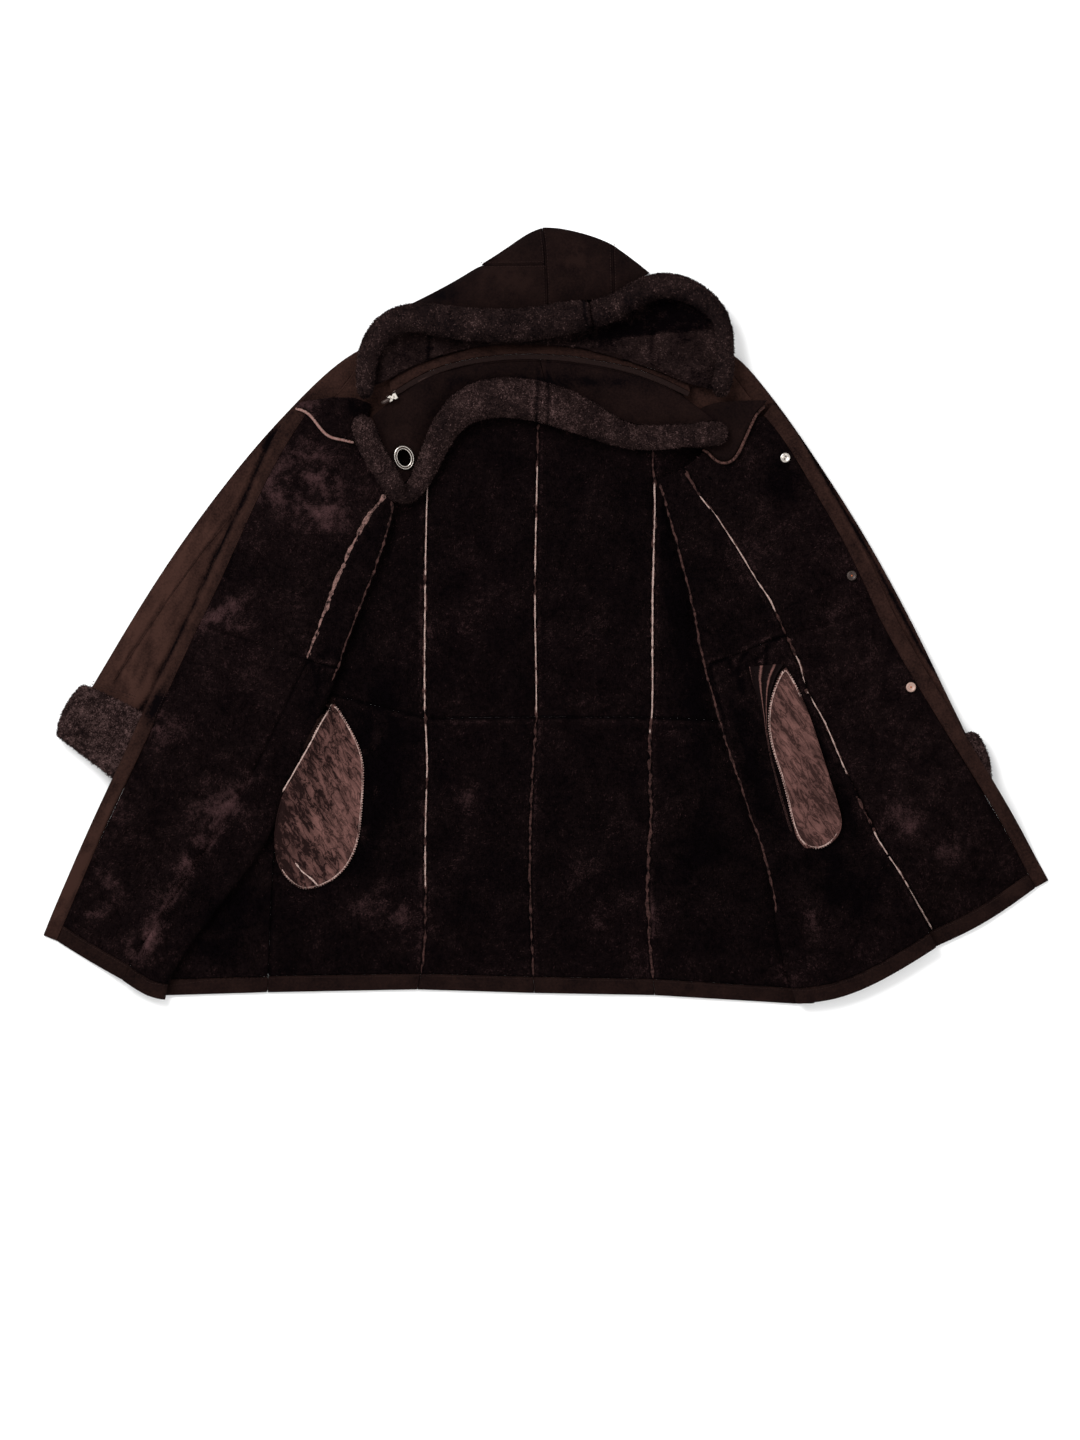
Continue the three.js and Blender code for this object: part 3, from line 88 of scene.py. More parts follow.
# Wool painted lighter or darker: centre x, y, half length, half width, heading deg, how much lighter (+) or
# darker (-) it is painted there. The lighter marks are painted sheen where the wool lies brushed to one side;
# the darker marks are painted shade beside the left pocket, under the folded panels and flaps, and in the
# hood's mouth.
PAINTED_SHEEN_AND_SHADE = [
    (-344, 199, 58, 40, 20, 0.5),
    (-310, 175, 46, 26, -50, 0.5),
    (-322, 138, 34, 24, 0, 0.6),
    (-384, 176, 22, 20, 0, 0.55),
    (-446, 12, 34, 12, 35, 0.6),
    (-452, -17, 44, 14, -15, 0.4),
    (-540, -151, 34, 24, -20, 0.5),
    (-470, -235, 70, 16, 58, 0.35),
    (-446, -268, 66, 17, 55, 0.75),
    (-498, -345, 62, 15, 56, 0.65),
    (-546, -432, 66, 15, 60, 0.7),
    (-612, -372, 26, 22, 30, 0.5),
    (-622, -414, 28, 18, 30, 0.45),
    (-572, -459, 30, 18, 10, 0.55),
    (-530, -482, 26, 14, 40, 0.5),
    (-242, -402, 46, 38, 10, 0.4),
    (-180, -25, 40, 34, 0, 0.25),
    (-106, -259, 36, 22, 30, 0.35),
    (-205, -430, 60, 26, -25, 0.3),
    (-92, 10, 60, 24, 20, 0.2),
    # Painted shade beside the left pocket, under the folded panels and beside the flaps.
    (-236, -205, 96, 34, 82, -0.95),
    (-248, -215, 110, 22, 84, -0.6),
    (388, -205, 90, 9, -64, -0.9),
    (-270, -330, 40, 40, 0, -0.5),
    (-446, -440, 60, 32, 50, -0.95),
    (-300, -60, 60, 22, 66, -0.35),
    (190, -20, 150, 15, 100, -0.9),
    (196, -60, 60, 16, 98, -0.4),
    (292, -215, 100, 16, 104, -0.9),
    (416, -365, 60, 44, -40, -0.7),
    (214, -330, 60, 30, 80, -0.5),
    (244, 86, 50, 26, -40, 0.3),
    (262, 20, 40, 18, -30, 0.25),
    (496, -290, 50, 24, 20, 0.4),
    (560, -330, 40, 20, 30, 0.35),
    (374, -418, 34, 22, -60, 0.45),
    (346, -500, 44, 18, 10, 0.55),
    (330, 190, 34, 44, 10, -0.4),
    (148, -440, 60, 34, 80, 0.25),
    (92, -420, 60, 40, 30, 0.2),
    (62, -330, 70, 30, 50, 0.2),
    (-330, 285, 18, 14, 0, 1.0),
    # Painted shade near the lapel and in the hood's mouth.
    (-262, 290, 20, 16, 0, -0.6),
    (180, 420, 62, 28, 0, -0.55),
    (110, 402, 60, 12, 10, -0.6),
]


def rows(first, second):
    """The pairs of nodes that meet along a seam, above and below the waist."""
    return [(f"{first}_{row}", f"{second}_{row}") for row in ("upper", "lower")]


def waist(*panels):
    """The pairs of nodes that meet at the waist of each panel."""
    return [(f"{panel}_upper", f"{panel}_lower") for panel in panels]


# Inside seams. Per line: the pairs of nodes it joins, the side on which a low ridge of wool lies (+1 left, -1
# right, 0 none), how deep it is pressed in (mm), which also sets the painted shade in its dip and the painted
# highlight on its flanks, and the cut edge that stands up in it, if any: its finish, width and height (mm),
# and where it shows (y from, y to).
SEAMS = {
    "princess_left": (
        rows("back_centre_left", "back_side_left"), 1, 1.6,
        ("raw_edge", 1.9, 3.3, [(185, 52), (46, -136), (-150, -232), (-242, -312), (-322, -384)]),
    ),
    "centre_back": (
        rows("back_centre_left", "back_centre_right"), -1, 1.6,
        ("raw_edge", 1.7, 3.2, [(214, 150), (140, 54), (32, -140)]),
    ),
    "princess_right": (
        rows("back_centre_right", "back_side_right"), -1, 1.6,
        ("raw_edge", 2.2, 3.5, [(188, -148), (-156, -168)]),
    ),
    "front_right": (
        rows("front_right", "side_right"), 1, 1.2,
        ("raw_edge", 2.0, 3.3, [(210, 198), (168, 0), (-56, -226), (-300, -446)]),
    ),
    "front_left": ([("front_left_upper", "side_left_upper")], 0, 1.0, ("soft_edge", 6.4, 4.2, [(172, -76)])),
    "front_left_low": ([("front_left_lower", "side_left_lower")], 0, 0.6, None),
    "waist_left": (waist("back_centre_left", "back_side_left"), 1, 1.5, None),
    "waist_right": (waist("back_centre_right", "back_side_right"), 1, 1.5, None),
    "waist_front_left": (waist("front_left"), 0, 0.5, None),
    "waist_front_right": (waist("front_right"), 0, 0.35, None),
    "waist_side_left": (waist("side_left"), 1, 2.0, None),
    "waist_side_right": (waist("side_right"), 1, 2.6, None),
    "crown_centre": (
        [("hood_crown_left", "hood_crown_centre"), ("hood_crown_yoke", "hood_crown_centre")], 0, 1.0, None,
    ),
    "crown_right": ([("hood_crown_centre", "hood_crown_right")], 0, 1.0, None),
    "crown_yoke": ([("hood_crown_left", "hood_crown_yoke")], 0, 0.8, None),
    "roof_seam": ([("hood_rim_left", "hood_rim_right")], 0, 3.0, None),
}

SEAM_REACH = 2.2  # how far a seam's dip reaches to each side, mm

# Where a seam's own line is given, because the rims of its pieces have few corners along it.
PATHS = {
    "front_right": [
        (190, 209), (216, 165), (238, 139), (265, 98), (297, 45), (314, 21), (336, -28), (356, -70),
        (364, -105), (389, -147), (420, -222), (463, -313), (496, -362), (522, -406), (543, -442),
    ],
    "crown_centre": [(-5.5, 541), (-1.3, 511), (0.5, 470), (1.5, 433)],
    "roof_seam": [(51.9, 439), (54, 420), (58.9, 400)],
}

SLEEVE_SEAM = [(-443.7, 134.7), (-480, 92), (-530, 22), (-572, -42), (-606.1, -93.5)]
ARMHOLE_SEAM = [(-264.5, 344.7), (-276, 327), (-290, 311), (-300.9, 304.1)]
CUFF_STITCHES = [[(-636.9, -96.3), (-576.7, -117.3)], [(-635.4, -92.4), (-575.3, -113.4)]]
COLLAR = ["collar_roll", "collar_left", "collar_right"]

# Seams and shaded edges inside the nodes, pressed in, painted darker along the line as shade and lighter
# beside it as highlight: how deep (mm), how far they reach (mm), and the line.
CREASES = [
    (COLLAR, 2.6, 2.2, [(-9.5, 372), (-10.5, 336), (-12.5, 300), (-14, 262)]),
    (COLLAR, 2.4, 2.2, [(2.5, 372), (3.0, 336), (3.5, 300), (2.5, 262)]),
    (["hood_back"], 2.0, 2.6, [(-162.3, 392), (-164.0, 370), (-165.5, 345)]),
    (["hood_back"], 2.0, 2.6, [(149.9, 404), (149.0, 378), (148.0, 345)]),
    (["back_side_left_lower", "side_left_lower"], 1.2, 2.6, [(-384.9, -380), (-386, -440), (-389.1, -520)]),
    (["side_right_lower"], 1.6, 2.6, [(219, -104), (244, -92), (268, -78), (292, -62), (336, -24)]),
    (["side_right_upper"], 1.6, 2.6, [(222, -84), (262, -62), (300, -42), (330, -26)]),
    (["front_right_upper"], 1.2, 3.0, [(338, 9), (368, 26), (398, 42), (420, 52)]),
    (["sleeve_left_top"], 3.0, 2.2, SLEEVE_SEAM),
    (["hood_back"], 1.6, 3.0, [(33, 384), (87, 393), (161, 399), (218, 404), (241, 420)]),
    # Painted shade along the edges of the front bands, where band and sleeve meet.
    (
        ["sleeve_left_top", "front_left_band"], 2.8, 3.2,
        [(-386, 251), (-424, 160), (-450, 111), (-488, 26), (-535, -73), (-570, -137), (-593, -190)],
    ),
    (
        ["sleeve_right_top", "front_right_band"], 2.8, 3.2,
        [(365, 239), (410, 162), (455, 86), (492, 16), (527, -50), (581, -122), (627, -212)],
    ),
]

# Strips that lie on the surface: width, height (mm), finish, slot, how ragged, and the line.
STRIPS = {
    "sleeve_left_welt": (2.4, 1.0, "suede_sleeve", "suede", 0.0, SLEEVE_SEAM),
    "armhole_left_welt": (2.4, 1.0, "suede_sleeve", "suede", 0.0, ARMHOLE_SEAM),
    "pocket_left_seam": (
        1.8, 1.6, "raw_edge", "piping", 0.4,
        [(-368.1, -247.5), (-352, -219), (-331, -183), (-314, -150), (-299.5, -124.3)],
    ),
    "pocket_left_facing": (
        8.0, 1.6, "suede_hem", "suede", 0.0,
        [(-297, -114), (-306, -130), (-318, -150), (-329, -172), (-338, -190)],
    ),
    "pocket_left_crease": (
        1.8, 0.8, "raw_edge", "piping", 0.8,
        [(-351.3, -346.9), (-338, -362), (-328, -370), (-319.1, -379.1)],
    ),
}

# The edges of the gathered facing beside the right pocket bag, from its top.
FACING = (
    [(284, -72), (288, -92), (296, -116), (303, -142), (307, -166), (313, -200), (325, -248), (341, -302)],
    [(333, -68), (322, -84), (315, -104), (311, -130), (310, -160), (316, -200), (328, -248), (345, -303)],
)

# The share of the zip, from the slider, along which its teeth aren't covered.
TEETH_SHOW = 0.34

# Folded edges of the zip's tape: offset from a side of the tape (-1 or 1) in mm, from, to as
# shares of the zip, width in mm, finish.
ZIP_EDGES = {
    "zip_edge_upper": (1, -0.5, 0.0, 0.6, 2.3, "teeth"),
    "zip_edge_crest": (1, -0.3, 0.58, 0.9, 1.7, "thread"),
    "zip_edge_lower": (-1, 0.0, 0.0, 1.0, 2.4, "thread"),
    "zip_edge_flap": (-1, -3.4, 0.3, 0.97, 1.4, "suede_collar"),
}

# The inside caps of the press studs: their own finish and slot, and the finish of the middle.
STUDS = {
    "snap_1": ("nickel", "bright_metal", "gunmetal"),
    "snap_2": ("gunmetal", "dark_metal", "copper"),
    "snap_3": ("stud", "dark_metal", "copper"),
}
STUD_CAP = [(6.9, -0.4), (7.0, 0.6), (6.6, 1.5), (5.6, 2.0), (4.6, 1.7), (3.8, 1.1), (2.0, 0.9)]
STUD_HOLE = [(1.1, -0.4), (1.1, 0.3), (0.8, 0.35)]
STUD_RIVET = [(1.3, -0.4), (1.3, 0.5), (0.8, 0.9), (0.3, 1.0)]

# Places where the suede is painted lighter (+) or darker (-), in the same columns as the wool's marks, and
# how much more such a place shows on suede than on wool. The lighter marks are rubbed wear together with
# painted highlight; the darker marks are painted shade, as at the foot of the left sleeve, beside the yoke
# and below the neckband.
SUEDE_MARKS = 1.7
SCUFFS_AND_PAINTED_LIGHT = [
    (-540, 40, 210, 16, 56, 0.35),
    (-560, -92, 44, 26, 56, 0.45),
    (-530, 10, 130, 15, 56, 0.3),
    (-588, 24, 150, 18, 55, -0.35),
    (-548, -128, 42, 11, 56, -0.8),
    (-402, 240, 90, 14, 50, -0.35),
    (-505, 0, 110, 8, 58, 0.25),
    (-660, -370, 70, 16, 65, 0.5),
    (-620, -300, 90, 14, 64, 0.4),
    (-60, 465, 60, 30, 20, 0.35),
    (45, 500, 40, 26, -40, 0.45),
    (-150, 440, 50, 22, 30, -0.35),
    (-150, 300, 30, 30, 0, -0.2),
    (-190, 262, 34, 24, 60, 0.25),
    (130, 300, 70, 24, -15, 0.2),
    (20, 326, 120, 8, 0, -0.5),
    (610, -300, 70, 16, -60, 0.35),
    (650, -380, 40, 14, -50, 0.35),
    (420, 180, 80, 12, -60, -0.3),
]

# Tufts: length, width, spacing in mm, lean and heading in degrees, how much they curl, and how
# much lighter or darker one is than the next.
TUFTS = {
    "body": (4.6, 1.7, 2.3, 64, 265, 0.9, 0.18),
    "lining": (4.4, 1.7, 2.2, 58, 250, 1.3, 0.18),
    "trim": (3.6, 1.9, 1.85, 50, 200, 3.0, 0.26),
    "cuff": (4.4, 2.0, 1.9, 46, 160, 3.0, 0.26),
}


# ---------------------------------------------------------------- settings


def colour(name, description, value):
    return FloatVectorProperty(
        name=name, description=description, subtype="COLOR", size=4, min=0, max=1, default=linear(value)
    )


def distance(name, description, millimetres):
    return FloatProperty(
        name=name, description=description, subtype="DISTANCE", unit="LENGTH", min=0, default=millimetres * MM
    )


class CoatSizes(bpy.types.PropertyGroup):
    stitch_pitch: distance("Stitch pitch", "From one stitch to the next", 4.0)
    stitch_length: distance("Stitch length", "What shows of each stitch", 2.7)
    thread: distance("Thread", "Width of the sewing thread", 0.9)
    pinking: distance("Pinking", "From one tooth of a pinked edge to the next", 3.6)
    zip_pitch: distance("Zip pitch", "From one tooth of the zip to the next", 2.2)
    pile: FloatProperty(
        name="Pile", description="Length of the wool against its usual length", default=1.0, min=0.2, max=2
    )
    seed: IntProperty(name="Seed", description="Changes how the tufts fall", default=3, min=0)


class CoatColours(bpy.types.PropertyGroup):
    # The deep colours also carry the painted shade between the tufts and curls, and the tip colours the
    # painted highlight on the tips.
    wool_deep: colour("Wool, deep", "Between the tufts", 0x040203)
    wool: colour("Wool", "Sheared wool as a whole", 0x110A0A)
    wool_tip: colour("Wool, tips", "Brushed tips that catch the light", 0x473132)
    trim_deep: colour("Trim, deep", "Between the curls of the rolls and cuffs", 0x090607)
    trim: colour("Trim", "Longer wool of the rolls and cuffs", 0x211716)
    trim_tip: colour("Trim, tips", "Tips of the rolls' wool", 0x6A5250)
    suede: colour("Suede", "Suede of the hood and the collar", 0x120A09)
    suede_worn: colour("Suede, worn", "Suede of the sleeves and the bands, rubbed lighter", 0x33211C)
    skin: colour("Pocket skin", "Flesh side of the pocket bags", 0x6A4A45)
    raw: colour("Raw edge", "Cut edge of the skin", 0xB09A92)
    thread: colour("Thread", "Sewing thread", 0x30211E)
    metal: colour("Nickel", "Plated slider, ring and stud", 0xC9C4BC)
    stud: colour("Coated stud", "Lacquered stud back", 0xA08478)


# ---------------------------------------------------------------- materials


def add_node(tree, kind, links=None, **settings):
    """Adds a node; links maps an input to a value, to another node's output, or to a node, of
    which the first output is meant."""
    node = tree.nodes.new(kind)
    for key, value in settings.items():
        setattr(node, key, value)
    for key, value in (links or {}).items():
        if isinstance(value, bpy.types.Node):
            value = value.outputs[0]
        if isinstance(value, bpy.types.NodeSocket):
            tree.links.new(value, node.inputs[key])
        else:
            node.inputs[key].default_value = value
    return node


def new_material(name):
    """An empty material, its tree, and the place on the object that its patterns follow."""
    material = bpy.data.materials.get(name) or bpy.data.materials.new(name)
    material.use_nodes = True
    tree = material.node_tree
    tree.nodes.clear()
    return material, tree, add_node(tree, "ShaderNodeTexCoord").outputs["Object"]


def finish_material(material, surface):
    """Ends a material with what its surface is like."""
    shader = add_node(material.node_tree, "ShaderNodeBsdfPrincipled", surface)
    add_node(material.node_tree, "ShaderNodeOutputMaterial", {"Surface": shader})
    return material


def hills(where, size, detail=3.0, roughness=0.55):
    """What makes the hills of a noise `size` millimetres wide."""
    return {"Vector": where, "Scale": 1 / (size * MM), "Detail": detail, "Roughness": roughness}


def sheared_wool(name, deep, body, tip, patch, curl, light):
    """Sheepskin wool, sheared short and ironed: matt, with soft patches where it lies two ways, and the
    painted sheen, highlight and shade of its shade attribute, with tips painted paler as highlight. It
    reflects almost nothing, so it looks deep and soft."""
    material, tree, where = new_material(name)
    patches = add_node(tree, "ShaderNodeTexNoise", hills(where, patch, 4.0, 0.62))
    curls = add_node(tree, "ShaderNodeTexNoise", hills(where, curl, 5.0, 0.72))
    # Real wool fibres are finer than the 1.9 mm here, which is as fine as shows.
    fibres = add_node(tree, "ShaderNodeTexNoise", hills(where, 1.9, 2.0, 0.6))
    shade = add_node(tree, "ShaderNodeAttribute", attribute_name="shade").outputs["Fac"]
    tuft = add_node(tree, "ShaderNodeMath", {0: curls, 1: 0.6, 2: light - 0.2}, operation="MULTIPLY_ADD")
    fine = add_node(tree, "ShaderNodeMath", {0: fibres, 1: 0.5, 2: tuft}, operation="MULTIPLY_ADD")
    broad = add_node(tree, "ShaderNodeMath", {0: patches, 1: 0.62, 2: fine}, operation="MULTIPLY_ADD")
    nap = add_node(tree, "ShaderNodeMath", {0: shade, 1: 0.42, 2: broad}, operation="MULTIPLY_ADD")
    low = add_node(tree, "ShaderNodeMapRange", {"Value": nap, "From Min": 0.42, "From Max": 0.8})
    high = add_node(tree, "ShaderNodeMapRange", {"Value": nap, "From Min": 0.74, "From Max": 1.35})
    # deep is the dark mottle and also the painted shade between tufts, in seams and under flaps; tip is the
    # pale mottle and also the painted highlight.
    lower = add_node(tree, "ShaderNodeMix", {0: low, 6: deep, 7: body}, data_type="RGBA").outputs[2]
    mixed = add_node(tree, "ShaderNodeMix", {0: high, 6: lower, 7: tip}, data_type="RGBA").outputs[2]
    bump = add_node(tree, "ShaderNodeBump", {"Height": fine, "Strength": 0.55, "Distance": 1.6 * MM})
    matt = {"Roughness": 0.95, "Specular IOR Level": 0.01}
    return finish_material(material, {"Base Color": mixed, "Normal": bump, **matt})


def brushed_suede(name, body, worn, clouds, rough):
    """Sheepskin suede, buffed to a short nap: matt and velvety, with cloudy patches where the nap was brushed
    over, and painted lighter and darker by its shade attribute: rubbed wear and painted highlight on the high
    places, painted shade in seams and beside the bands."""
    material, tree, where = new_material(name)
    cloud = add_node(tree, "ShaderNodeTexNoise", hills(where, clouds, 4.0, 0.6))
    # The real nap is 0.2 mm; it is drawn as coarse as it shows.
    nap = add_node(tree, "ShaderNodeTexNoise", hills(where, 2.8, 4.0, 0.75))
    shade = add_node(tree, "ShaderNodeAttribute", attribute_name="shade").outputs["Fac"]
    fine = add_node(tree, "ShaderNodeMath", {0: nap, 1: 1.1, 2: -0.45}, operation="MULTIPLY_ADD")
    broad = add_node(tree, "ShaderNodeMath", {0: cloud, 1: 0.7, 2: fine}, operation="MULTIPLY_ADD")
    # rubbed holds the clouds and nap and the shade attribute, which carries painted highlight and shade as
    # well as rubbed wear.
    rubbed = add_node(tree, "ShaderNodeMath", {0: shade, 1: 0.5, 2: broad}, operation="MULTIPLY_ADD")
    share = add_node(tree, "ShaderNodeMapRange", {"Value": rubbed, "From Min": 0.12, "From Max": 0.82})
    mixed = add_node(tree, "ShaderNodeMix", {0: share, 6: body, 7: worn}, data_type="RGBA").outputs[2]
    bump = add_node(tree, "ShaderNodeBump", {"Height": nap, "Strength": 0.5, "Distance": 0.7 * MM})
    matt = {"Roughness": rough, "Specular IOR Level": 0.02}
    return finish_material(material, {"Base Color": mixed, "Normal": bump, **matt})


def flesh_side(name, body, deep, heading):
    """Thin sheepskin, flesh side out and only washed: dull, cloudy, and with fine wrinkles, painted dark as
    shade, that run along the heading where the bag was pulled; its shade attribute adds painted light and
    shade."""
    material, tree, where = new_material(name)
    pull = {"Vector": where, "Rotation": (0, 0, math.radians(heading)), "Scale": (3.3, 1, 1)}
    pulled = add_node(tree, "ShaderNodeMapping", pull, vector_type="TEXTURE")
    bent = add_node(tree, "ShaderNodeTexNoise", {**hills(pulled, 8.0, 3.0, 0.6), "Distortion": 0.7})
    away = add_node(tree, "ShaderNodeMath", {0: bent, 1: 0.5}, operation="SUBTRACT")
    far = add_node(tree, "ShaderNodeMath", {0: away}, operation="ABSOLUTE")
    wrinkle = add_node(tree, "ShaderNodeMapRange", {"Value": far, "From Max": 0.075})
    cloud = add_node(tree, "ShaderNodeTexNoise", hills(pulled, 12.0))
    fine = add_node(tree, "ShaderNodeTexNoise", hills(where, 1.6))
    shade = add_node(tree, "ShaderNodeAttribute", attribute_name="shade").outputs["Fac"]
    depth = add_node(tree, "ShaderNodeMath", {0: cloud, 1: 2.6, 2: fine}, operation="MULTIPLY_ADD")
    lines = add_node(tree, "ShaderNodeMath", {0: wrinkle, 1: 0.75, 2: depth}, operation="MULTIPLY_ADD")
    nap = add_node(tree, "ShaderNodeMath", {0: shade, 1: 0.7, 2: lines}, operation="MULTIPLY_ADD")
    share = add_node(tree, "ShaderNodeMapRange", {"Value": nap, "From Min": 1.5, "From Max": 3.2})
    mixed = add_node(tree, "ShaderNodeMix", {0: share, 6: deep, 7: body}, data_type="RGBA").outputs[2]
    rough = add_node(tree, "ShaderNodeMath", {0: fine, 1: 0.4, 2: wrinkle}, operation="MULTIPLY_ADD")
    bump = add_node(tree, "ShaderNodeBump", {"Height": rough, "Strength": 0.5, "Distance": 1.0 * MM})
    dull = {"Roughness": 0.8, "Specular IOR Level": 0.015}
    return finish_material(material, {"Base Color": mixed, "Normal": bump, **dull})


def plain_fibre(name, body, dark, size, rough):
    """Twisted polyester thread, woven tape or a cut skin edge: fibres that shade each other."""
    material, tree, where = new_material(name)
    fibres = add_node(tree, "ShaderNodeTexNoise", hills(where, size, 3.0, 0.6))
    share = add_node(tree, "ShaderNodeMapRange", {"Value": fibres, "From Min": 0.35, "From Max": 0.62})
    mixed = add_node(tree, "ShaderNodeMix", {0: share, 6: dark, 7: body}, data_type="RGBA").outputs[2]
    bump = add_node(tree, "ShaderNodeBump", {"Height": fibres, "Strength": 0.5, "Distance": 0.4 * MM})
    dull = {"Roughness": rough, "Specular IOR Level": 0.04}
    return finish_material(material, {"Base Color": mixed, "Normal": bump, **dull})


def plated_metal(name, body, dark, rough, metallic):
    """Pressed zinc or steel, nickel-plated or lacquered: bright, with faint rubbing marks."""
    material, tree, where = new_material(name)
    rubbing = add_node(tree, "ShaderNodeTexNoise", hills(where, 1.2, 4.0, 0.7))
    share = add_node(tree, "ShaderNodeMapRange", {"Value": rubbing, "From Min": 0.3, "From Max": 0.6})
    mixed = add_node(tree, "ShaderNodeMix", {0: share, 6: dark, 7: body}, data_type="RGBA").outputs[2]
    marks = {"Value": rubbing, "To Min": rough + 0.1, "To Max": rough - 0.05}
    gloss = add_node(tree, "ShaderNodeMapRange", marks)
    return finish_material(material, {"Base Color": mixed, "Roughness": gloss, "Metallic": metallic})


def studio_paper(name):
    """Seamless background paper, smooth and pale."""
    material = new_material(name)[0]
    paper = {"Base Color": linear(0xFAFAFA), "Roughness": 0.9, "Specular IOR Level": 0.1}
    return finish_material(material, paper)


FINISHES = {}


def between(a, b, share):
    """The colour that lies a share of the way from a to b."""
    return tuple(x + (y - x) * share for x, y in zip(a, b))


def make_finishes(colours):
    """All the coat's materials, by the name that the operators use."""
    c = {key: tuple(getattr(colours, key)) for key in CoatColours.__annotations__}
    deep, wool, tip = c["wool_deep"], c["wool"], c["wool_tip"]
    suede, worn, skin, raw = c["suede"], c["suede_worn"], c["skin"], c["raw"]
    trim = (c["trim_deep"], c["trim"], c["trim_tip"])
    # material, between the tufts (also the painted shade), body, tips (also the painted highlight), patches
    # mm, curls mm, how much lighter
    wools = {
        "wool_back": ("sheared_wool_back", deep, between(deep, wool, 0.75), tip, 48.0, 9.0, -0.07),
        "wool_side": ("sheared_wool_side", deep, between(deep, wool, 0.85), tip, 48.0, 9.0, -0.06),
        "wool_front": ("sheared_wool_front", deep, wool, tip, 48.0, 9.0, -0.02),
        "wool_hood": ("sheared_wool_hood", deep, c["trim"], c["trim_tip"], 48.0, 8.0, -0.06),
        "trim_hood": ("curled_wool_hood_trim", *trim, 30.0, 6.0, -0.04),
        "trim_collar": ("curled_wool_collar_trim", *trim, 30.0, 6.0, 0.02),
        "trim_cuff": ("curled_wool_cuff", *trim, 26.0, 6.5, 0.08),
    }
    # material, body (also the painted shade), rubbed (also the painted highlight), clouds mm, roughness
    suedes = {
        "suede_hood": ("brushed_suede_hood", deep, between(suede, worn, 0.12), 38.0, 0.9),
        "suede_collar": ("brushed_suede_collar", deep, between(suede, worn, 0.12), 38.0, 0.9),
        "suede_neck": ("brushed_suede_neckband", deep, between(suede, worn, 0.85), 38.0, 0.9),
        "suede_sleeve": ("brushed_suede_sleeve", deep, worn, 50.0, 0.9),
        "suede_hem": ("brushed_suede_hem", deep, between(suede, worn, 0.3), 26.0, 0.9),
        "suede_band": ("brushed_suede_band", deep, between(suede, worn, 0.8), 26.0, 0.9),
        "satin": ("satin_pocket_lining", between(deep, skin, 0.02), skin, 60.0, 0.65),
    }
    # material, body, wrinkles and painted shade, heading
    skins = {
        "skin_left": ("washed_skin_left", skin, between(skin, deep, 0.94), BAG_PULL["left"][0]),
        "skin_right": ("washed_skin_right", skin, between(skin, deep, 0.85), BAG_PULL["right"][0]),
    }
    # material, body, between the fibres, fibres mm, roughness
    fibres = {
        "raw_edge": ("cut_skin_edge", raw, between(skin, raw, 0.3), 2.4, 0.8),
        "soft_edge": ("cut_skin_edge_soft", between(skin, raw, 0.14), wool, 5.0, 0.85),
        "wool_edge": ("wool_on_the_cut_edge", between(wool, skin, 0.3), wool, 6.0, 0.9),
        "piping": ("folded_skin_piping", between(skin, raw, 0.25), skin, 3.0, 0.55),
        "pinking": ("pinked_skin_edge", between(skin, raw, 0.75), skin, 3.0, 0.7),
        "dark_piping": ("folded_skin_piping_dark", between(worn, skin, 0.35), suede, 3.0, 0.7),
        "thread": ("twisted_polyester_thread", c["thread"], wool, 1.0, 0.6),
        "tape": ("woven_polyester_tape", between(suede, c["thread"], 0.2), suede, 1.6, 0.8),
        "teeth": ("moulded_nylon_teeth", between(c["thread"], raw, 0.45), c["thread"], 2.0, 0.5),
    }
    # material, body, rubbed, roughness, metallic
    metals = {
        "nickel": ("nickel_plate", c["metal"], between(c["metal"], c["stud"], 0.5), 0.25, 1.0),
        "stud": ("lacquered_stud", c["stud"], between(c["stud"], skin, 0.5), 0.45, 0.35),
        "gunmetal": ("lacquered_gunmetal", between(wool, c["stud"], 0.12), wool, 0.4, 0.6),
        "copper": ("copper_rivet", linear(0xB0603A), linear(0x7A3A22), 0.4, 0.7),
    }
    makers = (
        (sheared_wool, wools), (brushed_suede, suedes), (flesh_side, skins), (plain_fibre, fibres),
        (plated_metal, metals),
    )
    for make, kinds in makers:
        FINISHES.update({name: make(*values) for name, values in kinds.items()})


# ---------------------------------------------------------------- shapes

SKINS = {}  # the skin of each node
WOOL = {}  # its tufts
LINES = {}  # seams by name, and the seams and creases in each node
GROUND = {}  # what look_down finds


def bumps(points, size, seed=0):
    """Smooth hills from -1 to 1, `size` metres apart, the same for the same seed."""
    cell = np.asarray(points, float) / size
    low = np.floor(cell).astype(np.int64)
    ease = (cell - low) ** 2 * (3 - 2 * (cell - low))
    total = np.zeros(len(cell))
    for corner in np.ndindex(2, 2, 2):
        at = low + corner
        mixed = (at[:, 0] * 73856093) ^ (at[:, 1] * 19349663) ^ (at[:, 2] * 83492791) ^ (seed * 40503 + 977)
        mixed = ((mixed ^ (mixed >> 13)) * 1274126177) & 0xFFFFFFFF
        value = ((mixed ^ (mixed >> 15)) & 0xFFFF) / 32767.5 - 1
        total += value * np.prod(np.where(corner, ease, 1 - ease), axis=1)
    return total


def vertex_array(mesh, what="co"):
    values = np.empty(len(mesh.vertices) * 3)
    mesh.vertices.foreach_get(what, values)
    return values.reshape(-1, 3)


def move_vertices(mesh, points):
    mesh.vertices.foreach_set("co", points.ravel())
    mesh.update()


def set_shade(mesh, values):
    layer = mesh.attributes.get("shade") or mesh.attributes.new("shade", "FLOAT", "POINT")
    layer.data.foreach_set("value", np.asarray(values, np.float32))


